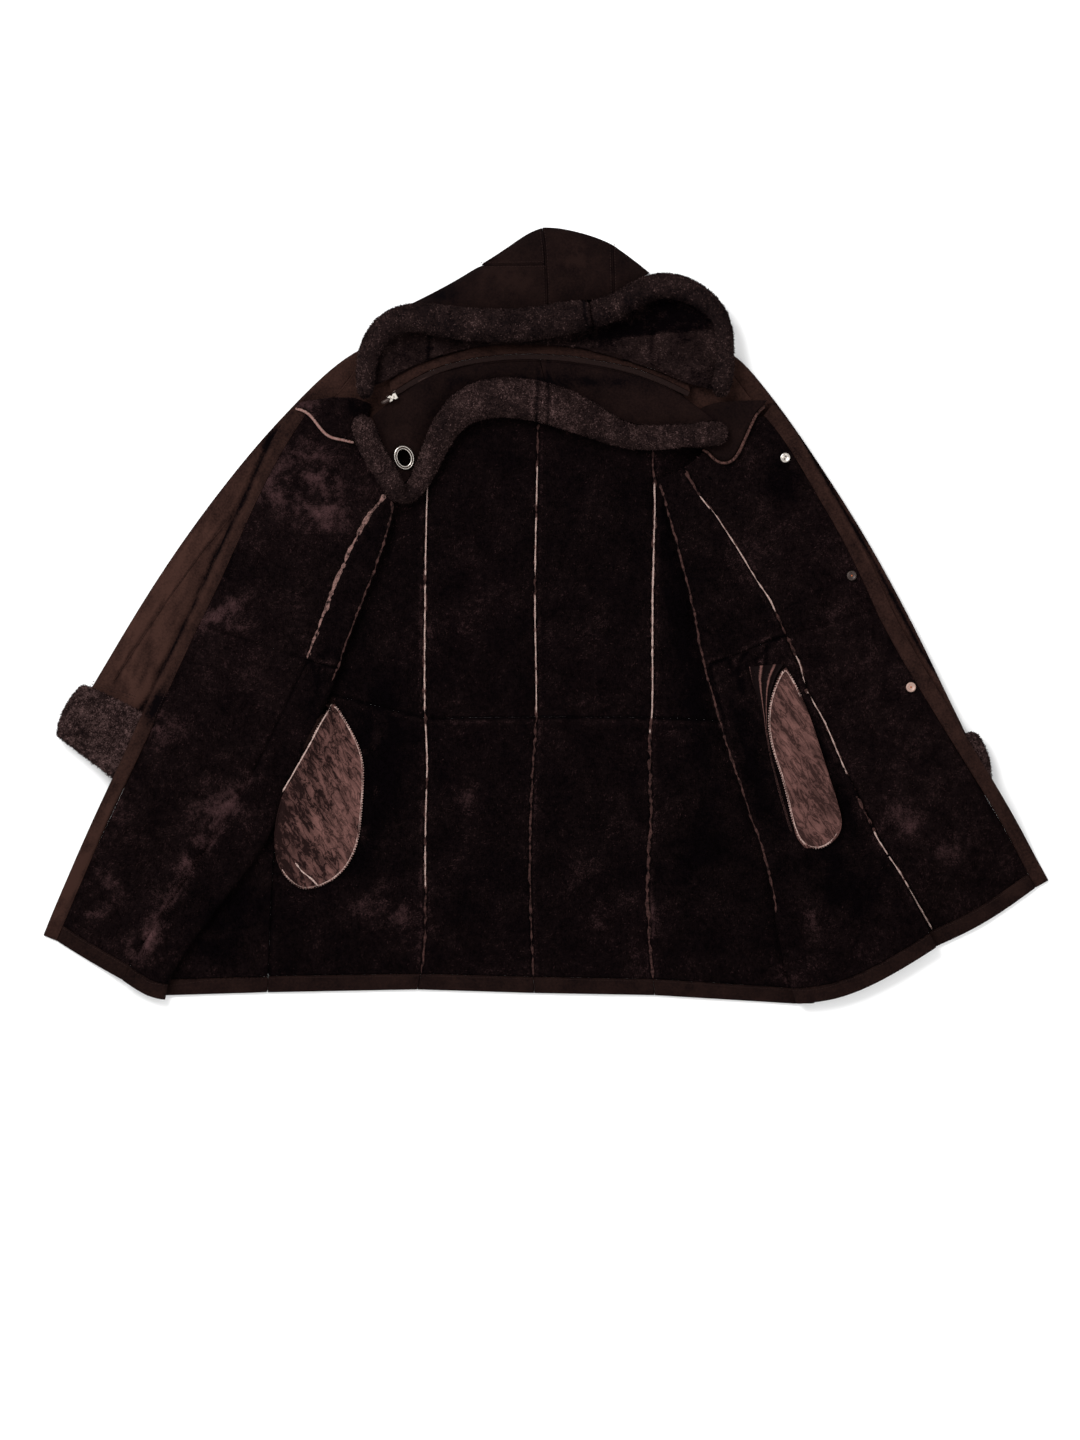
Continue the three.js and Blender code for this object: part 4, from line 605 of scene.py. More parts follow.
def marks_at(points, table):
    """How much lighter or darker the wool or the suede is painted at each point: painted sheen, highlight and
    shade, and on suede also rubbed wear.
    """
    total = np.zeros(len(points))
    for x, y, half_length, half_width, heading, strength in table:
        turn = math.radians(heading)
        dx, dy = points[:, 0] / MM - x, points[:, 1] / MM - y
        u = (dx * math.cos(turn) + dy * math.sin(turn)) / half_length
        v = (dy * math.cos(turn) - dx * math.sin(turn)) / half_width
        total += strength * np.exp(-(u * u + v * v))
    flat = points * (1, 1, 0)
    return total * np.clip(0.72 + 0.8 * bumps(flat, 15 * MM, 5) + 0.6 * bumps(flat, 6 * MM, 6), 0, 1.8)


def folds_at(points, heading, size, stretch):
    """Wrinkles from -1 to 1 that run along a heading, `size` metres apart and wandering."""
    turn = math.radians(heading)
    x, y = points[:, 0], points[:, 1]
    flat = np.stack([x, y, np.zeros(len(x))], axis=1)
    u = x * math.cos(turn) + y * math.sin(turn)
    v = y * math.cos(turn) - x * math.sin(turn) + 0.7 * size * bumps(flat, 2.4 * size, 41)
    hills = bumps(np.stack([u / stretch, v, np.zeros(len(x))], axis=1), size, 42)
    return 1 - 2.6 * np.abs(hills)


def add_piece(name, mesh, finish, smooth=True):
    """Puts a mesh in the scene as a piece that rides with the coat."""
    piece = bpy.data.objects.new(name, mesh)
    bpy.context.scene.collection.objects.link(piece)
    mesh.materials.clear()
    mesh.materials.append(FINISHES[finish])
    if smooth:
        mesh.shade_smooth()
    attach(piece, "root")
    return piece


def mesh_from(name, points, faces):
    mesh = bpy.data.meshes.new(name)
    mesh.from_pydata([tuple(map(float, p)) for p in points], [], faces)
    mesh.update()
    return mesh


def shell(start, rings, sides, inward=False):
    """The faces of a tube whose rings of points follow each other, and of its two ends."""
    faces = []
    for n in range(rings - 1):
        for k in range(sides):
            a, b = start + n * sides + k, start + n * sides + (k + 1) % sides
            faces.append((a, b, b + sides, a + sides))
    last = start + (rings - 1) * sides
    faces += [tuple(reversed(range(start, start + sides))), tuple(range(last, last + sides))]
    return [(face[0], *reversed(face[1:])) for face in faces] if inward else faces


def mesh_from_triangles(name, points, triangles):
    """The same for many triangles at once."""
    mesh = bpy.data.meshes.new(name)
    mesh.vertices.add(len(points))
    mesh.vertices.foreach_set("co", points.ravel())
    mesh.loops.add(3 * len(triangles))
    mesh.loops.foreach_set("vertex_index", triangles.ravel().astype(np.int32))
    mesh.polygons.add(len(triangles))
    mesh.polygons.foreach_set("loop_start", np.arange(0, 3 * len(triangles), 3, dtype=np.int32))
    mesh.update(calc_edges=True)
    return mesh


def quads_of(node, rim):
    """A node's wall as quads, with its sharp rims marked so that smoothing keeps them."""
    flat, square, sharp = (math.radians(degrees) for degrees in (50, 75, 58))
    grid = bmesh.new()
    grid.from_mesh(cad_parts[node].data)
    bmesh.ops.remove_doubles(grid, verts=grid.verts, dist=1e-5)
    bmesh.ops.join_triangles(grid, faces=grid.faces, angle_face_threshold=flat, angle_shape_threshold=square)
    crease = grid.edges.layers.float.get("crease_edge") or grid.edges.layers.float.new("crease_edge")
    for edge in grid.edges:
        if len(edge.link_faces) == 2 and edge.calc_face_angle(0) > sharp:
            edge[crease] = rim
    return grid


def smoothed(node, rim, steps):
    """A node's wall as a fine smooth mesh."""
    grid = quads_of(node, rim)
    rough = bpy.data.meshes.new(node + "_rough")
    grid.to_mesh(rough)
    grid.free()
    holder = bpy.data.objects.new(node + "_rough", rough)
    bpy.context.scene.collection.objects.link(holder)
    smoothing = holder.modifiers.new("Smooth", "SUBSURF")
    smoothing.levels = smoothing.render_levels = steps
    mesh = bpy.data.meshes.new_from_object(holder.evaluated_get(bpy.context.evaluated_depsgraph_get()))
    bpy.data.objects.remove(holder)
    bpy.data.meshes.remove(rough)
    for layer in ("custom_normal", "sharp_face", "crease_edge"):
        if layer in mesh.attributes:
            mesh.attributes.remove(mesh.attributes[layer])
    mesh.name = node + "_skin"
    return mesh


def dress(node, finish, steps, rim, relief=(), wool=False):
    """Makes the skin of one node: its own wall, smoothed, with hills pressed into its upper face
    and its seams drawn in. relief is a list of (depth mm, size mm); the rim says how sharp the
    wall's edges stay, from 0 to 1."""
    mesh = smoothed(node, rim, steps)
    points, normals = vertex_array(mesh), vertex_array(mesh, "normal")
    up = np.clip((normals[:, 2] - 0.25) / 0.4, 0, 1)
    pressed, shade = near_seams(node, points)
    for n, (depth, size) in enumerate(relief):
        pressed += depth * (bumps(points, size * MM, n + 11) - 1) / 2
    points += normals * (up * pressed * MM)[:, None]
    points[:, 2] = np.maximum(points[:, 2], 0)
    move_vertices(mesh, points)
    # The shade attribute: painted shade in the seams' dips and creases, painted highlight on their flanks,
    # and the painted light and shade marks of the wool or the suede.
    marks = marks_at(points, PAINTED_SHEEN_AND_SHADE) if wool else SUEDE_MARKS * marks_at(points, SCUFFS_AND_PAINTED_LIGHT)
    set_shade(mesh, shade + marks)
    piece = add_piece(node + "_skin", mesh, finish)
    if not wool:
        mesh.set_sharp_from_angle(angle=math.radians(48))
    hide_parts(node)
    SKINS[node] = piece
    return piece


def look_down():
    """A tree of all the skins, for finding what lies on top, and the node of each face."""
    if "tree" not in GROUND:
        points, faces, owners = [], [], []
        for node, piece in SKINS.items():
            start = len(points)
            points.extend(v.co.copy() for v in piece.data.vertices)
            faces.extend([start + i for i in face.vertices] for face in piece.data.polygons)
            owners.extend([node] * len(piece.data.polygons))
        GROUND["tree"] = BVHTree.FromPolygons(points, faces)
        GROUND["owners"] = owners
    return GROUND["tree"]


def on_top(x, y):
    """The highest point at a place, its normal and its node."""
    hit, normal, face, _ = look_down().ray_cast(Vector((x, y, 0.5)), Vector((0, 0, -1)))
    return (hit, normal, GROUND["owners"][face]) if hit else (Vector((x, y, 0)), Vector((0, 0, 1)), "")


def evenly(line, count):
    """A line of points resampled to `count` points."""
    line = np.asarray(line, float)
    walked = np.concatenate([[0], np.cumsum(np.linalg.norm(np.diff(line, axis=0), axis=1))])
    at = np.linspace(0, walked[-1], count)
    return np.stack([np.interp(at, walked, line[:, k]) for k in range(line.shape[1])], axis=1)


def spaced(line, step):
    """A line of points resampled so that they are about `step` apart."""
    length = np.linalg.norm(np.diff(np.asarray(line, float), axis=0), axis=1).sum()
    return evenly(line, max(2, int(round(length / step)) + 1))


def softened(line, rounds=2):
    """A line with its corners eased; its ends stay."""
    for _ in range(rounds):
        line = np.concatenate([line[:1], (line[:-2] + 2 * line[1:-1] + line[2:]) / 4, line[-1:]])
    return line


def nearest_in(points):
    """A tree for finding the nearest of some points; those seen from above lie at height 0."""
    tree = KDTree(len(points))
    for i, point in enumerate(points):
        tree.insert((*point, 0.0)[:3], i)
    tree.balance()
    return tree


def seam(first, second, reach=1.8, step=4.0):
    """The line where two nodes are sewn together, from the rims that face each other: they are
    less than `reach` mm apart, and the line's points about `step` mm."""
    ours, theirs = (vertex_array(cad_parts[n].data) for n in (first, second))
    tree = nearest_in(theirs)
    near = []
    for point in ours:
        other, _, gap = tree.find(point)
        if gap < reach * MM:
            near.append((np.array(point) + np.array(other)) / 2)
    near = np.array(near)
    middle = near[:, :2].mean(0)
    along = np.linalg.svd(near[:, :2] - middle, full_matrices=False)[2][0]
    near = near[np.argsort((near[:, :2] - middle) @ along)]
    kept = [near[0]]
    for point in near[1:]:
        if np.linalg.norm(point[:2] - kept[-1][:2]) > step * MM:
            kept.append(point)
        elif point[2] > kept[-1][2]:
            kept[-1] = point
    return np.array(kept)[:, :2]


def seam_lines():
    """All seams and creases: per node, a list of (points, across, depth, ridge side, reach)."""
    if not LINES:
        for name, (pairs, side, depth, _) in SEAMS.items():
            line = np.array(PATHS[name]) * MM if name in PATHS else joined(*(seam(a, b) for a, b in pairs))
            line = softened(spaced(line, 3 * MM), 3)
            if line[0][1] > line[-1][1]:
                line = line[::-1]
            LINES[name] = line
            for node in {n for pair in pairs for n in pair}:
                LINES.setdefault("in " + node, []).append((line, sideways(line), depth, side, SEAM_REACH))
        for nodes, depth, reach, points in CREASES:
            line = softened(spaced(np.array(points) * MM, 3 * MM), 2)
            for node in nodes:
                LINES.setdefault("in " + node, []).append((line, sideways(line), depth, 0, reach))
    return LINES


def near_seams(node, points):
    """How far each point is pressed in (mm, negative) and how much darker or lighter it is painted: a dip
    along the seam, painted darker as shade, and low flanks beside it, painted lighter as highlight, the
    higher one on the side where the ridge lies."""
    flank_at, flank_width, flank_end, end_reach = 2.6, 3.0, 14, 4
    pressed, shade = np.zeros(len(points)), np.zeros(len(points))
    for line, across, depth, side, reach in seam_lines().get("in " + node, []):
        tree = nearest_in(line)
        found = [tree.find((x, y, 0))[1:] for x, y in points[:, :2]]
        index, gap = np.array([f[0] for f in found]), np.array([f[1] for f in found]) / MM
        way = ((points[:, :2] - line[index]) * across[index]).sum(1) / MM
        inner = (index > 0) & (index < len(line) - 1) | (gap < end_reach)
        crease = np.exp(-((gap / reach) ** 2)) * inner
        flank = np.exp(-(((np.abs(way) - flank_at * reach) / flank_width) ** 2)) * inner * (gap < flank_end)
        flank *= np.where(side * way > 0, 1.0, 0.35 if side else 0.5)
        rough = 1 + 0.7 * bumps(points * (1, 1, 0), 7 * MM, 31)
        pressed += depth * (-crease * 0.7 + 0.4 * flank * rough)
        shade += depth * (-0.26 * crease + 0.17 * flank * rough)
    return pressed, shade


def joined(*lines):
    """Lines put end to end, each turned so that it starts near where the last one ended."""
    whole = lines[0]
    for line in lines[1:]:
        ends = [np.linalg.norm(whole[i] - line[j]) for i, j in ((-1, 0), (-1, -1), (0, 0), (0, -1))]
        nearest = int(np.argmin(ends))
        if nearest >= 2:
            whole = whole[::-1]
        whole = np.concatenate([whole, line if nearest % 2 == 0 else line[::-1]])
    return whole


def sideways(line):
    """The unit vectors across a line, to its left."""
    step = np.gradient(line, axis=0)
    step /= np.maximum(np.linalg.norm(step, axis=1), 1e-9)[:, None]
    return np.stack([-step[:, 1], step[:, 0]], axis=1)


def open_stretches(line, across, nodes, shown):
    """The stretches of a line that no other piece than `nodes` covers and that lie in the y
    ranges of `shown`, each as a list of a point's number and its height."""
    stretches, stretch = [], []
    for i, (x, y) in enumerate(line):
        hits = [on_top(x + across[i, 0] * d * MM, y + across[i, 1] * d * MM) for d in (-1.6, 1.6)]
        heights = [hit[0].z for hit in hits if nodes is None or hit[2] in nodes]
        is_open = len(heights) > 0 and (shown is None or any(min(r) <= y / MM <= max(r) for r in shown))
        if is_open:
            stretch.append((i, min(heights) if nodes else max(heights)))
        if stretch and (not is_open or i == len(line) - 1):
            stretches.append(stretch)
            stretch = []
    return [s for s in stretches if len(s) > 2]


def ridge(name, line, width, height, finish, slot_name, ragged=0.0, nodes=None, shown=None, seed=0):
    """A raised strip along a line on the surface: a welt, or the ragged edge of cut skin. It stops
    where another piece than `nodes` lies on top, and outside the y ranges of `shown`."""
    line = softened(spaced(line, 2.2 * MM))
    across = sideways(line)
    place = np.concatenate([line, np.zeros((len(line), 1))], axis=1)
    wander = bumps(place, 9 * MM, seed) * ragged * width * 0.4
    swell = 1 + ragged * bumps(place, 5 * MM, seed + 1)
    section = [(-0.5, -0.9), (-0.46, 0.55), (-0.2, 1.0), (0.06, 0.62), (0.26, 0.95), (0.5, 0.4), (0.5, -0.9)]
    points, faces = [], []
    for stretch in open_stretches(line, across, nodes, shown):
        start = len(points)
        for n, (i, z) in enumerate(stretch):
            taper = min(1.0, 0.25 + 0.4 * min(n, len(stretch) - 1 - n))
            for u, v in section:
                side = wander[i] + u * width * swell[i] * taper
                lift = v * height * swell[i] * taper if v > 0 else v * MM
                points.append((line[i, 0] + across[i, 0] * side, line[i, 1] + across[i, 1] * side, z + lift))
        faces += shell(start, len(stretch), len(section), inward=True)
    return add_piece(name, mesh_from(name, points, faces), finish)


def stitches(name, lines, sizes):
    """Runs of thread along lines on the surface, each stitch highest in its middle."""
    lift = 0.35
    points, faces = [], []
    for line in lines:
        line = softened(spaced(line, sizes.stitch_pitch))
        step = np.gradient(line, axis=0)
        step /= np.linalg.norm(step, axis=1)[:, None]
        for (x, y), (dx, dy) in zip(line, step):
            start = len(points)
            for t, thick in ((-0.5, 0.35), (0, 1.0), (0.5, 0.35)):
                px, py = x + dx * t * sizes.stitch_length, y + dy * t * sizes.stitch_length
                top = on_top(px, py)[0]
                half = sizes.thread * thick / 2
                for a, b in ((-1, 0), (0, 1), (1, 0), (0, -1)):
                    z = top.z + lift * MM * thick + half * b
                    points.append((px - dy * half * a, py + dx * half * a, z))
            faces += shell(start, 3, 4)
    return add_piece(name, mesh_from(name, points, faces), "thread")


def distance_to(line, points):
    """How far each point is from a line of close points, seen from above."""
    tree = nearest_in(line)
    return np.array([tree.find((x, y, 0))[2] for x, y in points[:, :2]])


def bare_places(node, spacing, lowest, rng):
    """Random places on the part of a skin that nothing covers, clear of the cut edges that show in
    its seams, and their normals. lowest is the least upward share of a normal."""
    mesh = SKINS[node].data
    mesh.calc_loop_triangles()
    corners = np.empty(len(mesh.loop_triangles) * 3, np.int32)
    mesh.loop_triangles.foreach_get("vertices", corners)
    corners = corners.reshape(-1, 3)
    points, normals = vertex_array(mesh), vertex_array(mesh, "normal")
    a, b, c = (points[corners[:, k]] for k in range(3))
    cross = np.cross(b - a, c - a)
    area = np.linalg.norm(cross, axis=1) / 2
    area = np.where(cross[:, 2] > lowest * 2 * area, area, 0)
    count = int(area.sum() / (spacing * MM) ** 2)
    pick = rng.choice(len(area), count, p=area / area.sum())
    u, v = rng.random((2, count))
    flip = u + v > 1
    u, v = np.where(flip, 1 - u, u), np.where(flip, 1 - v, v)
    weights = np.stack([1 - u - v, u, v], axis=1)[:, :, None]
    root = (points[corners[pick]] * weights).sum(1)
    out = (normals[corners[pick]] * weights).sum(1)
    out /= np.linalg.norm(out, axis=1)[:, None]
    tree, above = look_down(), Vector((0, 0, 1))
    starts = root + out * 0.0006 + (0, 0, 0.0005)
    bare = np.array([tree.ray_cast(Vector(start), above)[0] is None for start in starts])
    root, out = root[bare], out[bare]
    for name, (pairs, _, _, edge) in SEAMS.items():
        if edge and any(node in pair for pair in pairs):
            _, width, _, shown = edge
            away = distance_to(seam_lines()[name], root)
            in_view = np.zeros(len(root), bool)
            for first, last in shown:
                in_view |= (root[:, 1] / MM >= min(first, last)) & (root[:, 1] / MM <= max(first, last))
            clear = ~(in_view & (away < (width / 2 + 0.9) * MM))
            root, out = root[clear], out[clear]
    return root, out


def pile(node, kind, finish, slot_name, sizes, lowest=0.15):
    """Tufts of wool on a skin, each a small leaning spike of four corners."""
    length, width, spacing, lean, heading, curl, uneven = TUFTS[kind]
    length, width = length * MM * sizes.pile, width * MM
    rng = np.random.default_rng(sum(map(ord, node)) * 31 + sizes.seed)
    root, out = bare_places(node, spacing, lowest, rng)
    count = len(root)
    seamed = near_seams(node, root)[1]
    turn = math.radians(heading) + curl * (1.6 * bumps(root, 34 * MM, 21) + 1.1 * bumps(root, 8 * MM, 22))
    turn += rng.normal(0, 0.45 * curl, count)
    flat = np.stack([np.cos(turn), np.sin(turn), np.zeros(count)], axis=1)
    flat -= out * (flat * out).sum(1)[:, None]
    flat /= np.maximum(np.linalg.norm(flat, axis=1), 1e-6)[:, None]
    tilt = np.radians(lean + 14 * bumps(root, 6 * MM, 23) + rng.normal(0, 8, count))
    reach = length * (0.8 + 0.25 * bumps(root, 12 * MM, 24) + rng.normal(0, 0.12, count))
    tip = root + flat * (reach * np.sin(tilt))[:, None] + out * (reach * np.cos(tilt))[:, None]
    side = np.cross(out, flat)
    half = (width / 2 * rng.uniform(0.7, 1.3, count))[:, None]
    foot = root - out * 0.4 * MM
    corners = np.stack([foot + side * half, foot - side * half, foot - flat * half * 1.4, tip], axis=1)
    corners[:, :, 2] = np.maximum(corners[:, :, 2], 0.2 * MM)
    base = np.arange(count)[:, None] * 4
    triangles = np.concatenate([base + (0, 1, 3), base + (1, 2, 3), base + (2, 0, 3)]).reshape(-1, 3)
    tufts = mesh_from_triangles(node + "_wool", corners.reshape(-1, 3), triangles)
    # Each tuft's shade: the painted sheen and shade of the wool's marks and of the seams, and a random tone
    # of its own.
    shade = np.repeat(marks_at(root, PAINTED_SHEEN_AND_SHADE) + seamed + rng.normal(0, uneven, count), 4)
    shade[3::4] += 0.3  # the tip, painted lighter as a highlight
    shade[0::4] -= 0.2  # two corners of the foot, painted darker as shade at the root
    shade[1::4] -= 0.2
    set_shade(tufts, shade)
    WOOL[node] = add_piece(node + "_wool", tufts, finish)


def turned(name, centre, normal, profile, finish, sides=32):
    """A turned piece on the surface: profile is a table of radius, height in mm."""
    axis = Vector(normal).normalized()
    first = axis.orthogonal().normalized()
    second = axis.cross(first)
    points = []
    for radius, height in profile:
        for k in range(sides):
            t = 2 * math.pi * k / sides
            out = first * math.cos(t) + second * math.sin(t)
            points.append(Vector(centre) + out * radius * MM + axis * height * MM)
    faces = shell(0, len(profile), sides)
    return add_piece(name, mesh_from(name, points, faces), finish)


def fold_edge(nodes, heights, way):
    """The edge of a panel seen from above, just inside it: at each height (y from, y to, mm) the
    first place from the middle of the back where the panel lies on top. way is +1 to the right."""
    line, width, step, inside = [], 520, 2.0, 1.6
    for y in np.arange(heights[0], heights[1], -12.0):
        for x in np.arange(0, width, step):
            if on_top(way * x * MM, y * MM)[2] in nodes:
                line.append((way * (x + inside) * MM, y * MM))
                break
    return softened(np.array(line), 1)


def rim_of(node):
    """The outline of a roundish node seen from above, as a closed line."""
    points = vertex_array(SKINS[node].data)[:, :2]
    middle = (points.min(0) + points.max(0)) / 2
    angle = np.arctan2(*(points - middle).T[::-1])
    far = np.linalg.norm(points - middle, axis=1)
    line, count, window = [], 120, 0.06
    for k in range(count):
        near = np.abs((angle - 2 * math.pi * k / count + math.pi) % (2 * math.pi) - math.pi) < window
        if near.any():
            line.append(points[near][np.argmax(far[near])])
    return np.array(line + line[:1])


# ---------------------------------------------------------------- operators


class CoatOperator:
    """What the coat's operators share."""

    bl_options = {"REGISTER", "UNDO"}

    @property
    def sizes(self):
        return bpy.context.scene.coat_sizes


# The floor lies just under the coat. The camera's picture is VIEW_HEIGHT tall at the level where
# the coat is drawn at its true size. Lengths in metres, the lens in millimetres.
FLOOR_HALF, FLOOR_LEVEL = 9, -0.0004
VIEW_CENTRE, VIEW_HEIGHT, SHARP_LEVEL = (-0.0083, -0.1467), 2.016, 0.02
FOCAL, SENSOR = 120, 36


class COAT_OT_stage(CoatOperator, bpy.types.Operator):
    """Makes the materials, the floor, the lights and the camera straight above"""

    bl_idname = "coat.stage"
    bl_label = "Stage"

    def execute(self, context):
        make_finishes(context.scene.coat_colours)
        square = ((-1, -1), (1, -1), (1, 1), (-1, 1))
        corners = [(x * FLOOR_HALF, y * FLOOR_HALF, FLOOR_LEVEL) for x, y in square]
        floor = bpy.data.objects.new("floor", mesh_from("floor", corners, [(0, 1, 2, 3)]))
        floor.data.materials.append(studio_paper("studio_paper"))
        context.scene.collection.objects.link(floor)
        world = bpy.data.worlds.new("studio")
        world.use_nodes = True
        background = world.node_tree.nodes["Background"]
        background.inputs["Color"].default_value = (1, 1, 1, 1)
        background.inputs["Strength"].default_value = 0.78
        context.scene.world = world
        # place m, size m, power W
        for name, place, size, power in (
            ("key", (-1.5, 1.6, 3.2), 1.8, 140),
            ("side", (2.5, -0.4, 2.6), 1.9, 20),
            ("low", (-0.7, -2.7, 2.4), 1.9, 20),
        ):
            lamp = bpy.data.lights.new(name, "AREA")
            lamp.size, lamp.energy = size, power
            light = bpy.data.objects.new(name, lamp)
            light.location = place
            light.rotation_euler = (-Vector(place)).to_track_quat("-Z", "Y").to_euler()
            context.scene.collection.objects.link(light)
        lens = bpy.data.cameras.new("camera")
        lens.lens, lens.sensor_width, lens.clip_end = FOCAL, SENSOR, 50
        camera = bpy.data.objects.new("camera", lens)
        camera.location = (*VIEW_CENTRE, SHARP_LEVEL + VIEW_HEIGHT * FOCAL / SENSOR)
        context.scene.collection.objects.link(camera)
        context.scene.camera = camera
        context.scene.view_settings.view_transform = "Standard"
        return {"FINISHED"}


class COAT_OT_back(CoatOperator, bpy.types.Operator):
    """The back panels and the suede of their hem"""

    bl_idname = "coat.back"
    bl_label = "Back"

    def execute(self, context):
        for side in ("left", "right"):
            for part in ("centre", "side"):
                name, laid = f"back_{part}_{side}", [(1.6, 34), (1.0, 11)]
                for row in ("lower", "upper"):
                    dress(f"{name}_{row}", "wool_back", 2, 0.6, laid, wool=True)
                dress(f"{name}_hem", "suede_hem", 2, 0.85, [(1.0, 22)])
        return {"FINISHED"}


class COAT_OT_sleeves(CoatOperator, bpy.types.Operator):
    """The flat sleeves, their turned-back cuffs and the shoulder pieces"""

    bl_idname = "coat.sleeves"
    bl_label = "Sleeves"

    def execute(self, context):
        for side in ("left", "right"):
            for half in ("under", "top"):
                dress(f"sleeve_{side}_{half}", "suede_sleeve", 2, 0.7, [(2.2, 60), (0.8, 18)])
                dress(f"cuff_{side}_{half}", "trim_cuff", 2, 0.3, [(1.6, 13)], wool=True)
            dress(f"yoke_{side}", "suede_sleeve", 2, 0.85, [(1.0, 30)])
        return {"FINISHED"}


class COAT_OT_fronts(CoatOperator, bpy.types.Operator):
    """The side and front panels with their hem and the suede band of the front edges"""

    bl_idname = "coat.fronts"
    bl_label = "Sides and fronts"

    def execute(self, context):
        for side in ("left", "right"):
            for row in ("lower", "upper"):
                pressed, laid = [(1.2, 34), (0.8, 11)], [(2.0, 42), (1.0, 11)]
                dress(f"side_{side}_{row}", "wool_side", 2, 0.6, pressed, wool=True)
                dress(f"front_{side}_{row}", "wool_front", 3, 0.6, laid, wool=True)
            for panel in ("side", "front"):
                dress(f"{panel}_{side}_hem", "suede_hem", 2, 0.85, [(0.8, 22)])
            dress(f"front_{side}_band", "suede_band", 2, 0.85, [(1.0, 26)])
        return {"FINISHED"}


class COAT_OT_collar(CoatOperator, bpy.types.Operator):
    """The lapels with their piping, the collar and the fur roll along it"""

    bl_idname = "coat.collar"
    bl_label = "Lapels and collar"

    def execute(self, context):
        dress("lapel_left", "wool_front", 2, 0.6, [(1.0, 12)], wool=True)
        dress("lapel_right", "suede_collar", 2, 0.8, [(1.0, 24)])
        for side in ("left", "right"):
            dress(f"collar_{side}", "suede_collar", 2, 0.8, [(1.4, 40)])
        dress("piping_left", "piping", 1, 0.0)
        dress("piping_right", "dark_piping", 1, 0.0)
        roll = dress("collar_roll", "trim_collar", 2, 0.0, [(2.2, 13)], wool=True)
        return {"FINISHED"}


class COAT_OT_hood(CoatOperator, bpy.types.Operator):
    """The hood's back, crown and neckband with the fur roll round its mouth"""

    bl_idname = "coat.hood"
    bl_label = "Hood"

    def execute(self, context):
        dress("hood_neckband", "suede_neck", 2, 0.8)
        dress("hood_back", "wool_hood", 2, 0.6, [(1.6, 30), (1.0, 11)], wool=True)
        for part in ("left", "yoke", "centre", "right"):
            dress(f"hood_crown_{part}", "suede_hood", 2, 0.7, [(1.4, 46), (0.6, 15)])
        for side in ("left", "right"):
            rim = dress(f"hood_rim_{side}", "trim_hood", 2, 0.0, [(2.2, 13)], wool=True)
        return {"FINISHED"}


class COAT_OT_pockets(CoatOperator, bpy.types.Operator):
    """The two pocket bags inside the side seams, creased where they were pulled"""

    bl_idname = "coat.pockets"
    bl_label = "Pocket bags"

    def execute(self, context):
        for side, (heading, light) in BAG_PULL.items():
            dress(f"pocket_{side}", f"skin_{side}", 3, 0.6, [(1.0, 26)])
            mesh = SKINS[f"pocket_{side}"].data
            points, normals = vertex_array(mesh), vertex_array(mesh, "normal")
            fold = folds_at(points, heading, 7 * MM, 3.2)
            broad = folds_at(points, heading + 15, 20 * MM, 2.2)
            up = np.clip((normals[:, 2] - 0.4) / 0.4, 0, 1)
            points += normals * (up * (0.7 * fold + 1.1 * broad - 1.4) * MM)[:, None]
            move_vertices(mesh, points)
            across, tall = ((points - points.min(0)) / np.ptp(points, axis=0)).T[:2]
            # Painted light: the left bag is painted lighter towards its right and darker towards its top, the
            # right bag a little darker towards its right, and the folds painted lighter on their crests and
            # darker in their hollows.
            lit = 1.45 * across - 0.25 * tall if side == "left" else 0.2 - 0.15 * across
            set_shade(mesh, lit + light + 0.16 * fold + 0.16 * broad)
        return {"FINISHED"}


class COAT_OT_wool(CoatOperator, bpy.types.Operator):
    """The tufts of all the wool that shows"""

    bl_idname = "coat.wool"
    bl_label = "Wool"

    def execute(self, context):
        sizes = self.sizes
        for side in ("left", "right"):
            for row in ("lower", "upper"):
                for panel in ("back_centre", "back_side", "side", "front"):
                    finish = "wool_" + panel.split("_")[0]
                    pile(f"{panel}_{side}_{row}", "body", finish, "shearling_pile", sizes)
            pile(f"cuff_{side}_top", "cuff", "trim_cuff", "fur_trim", sizes, -0.5)
            pile(f"cuff_{side}_under", "cuff", "trim_cuff", "fur_trim", sizes, -0.3)
            pile(f"hood_rim_{side}", "trim", "trim_hood", "fur_trim", sizes, -0.5)
        pile("collar_roll", "trim", "trim_collar", "fur_trim", sizes, -0.5)
        pile("hood_back", "lining", "wool_hood", "shearling_pile", sizes)
        pile("lapel_left", "lining", "wool_front", "shearling_pile", sizes)
        return {"FINISHED"}


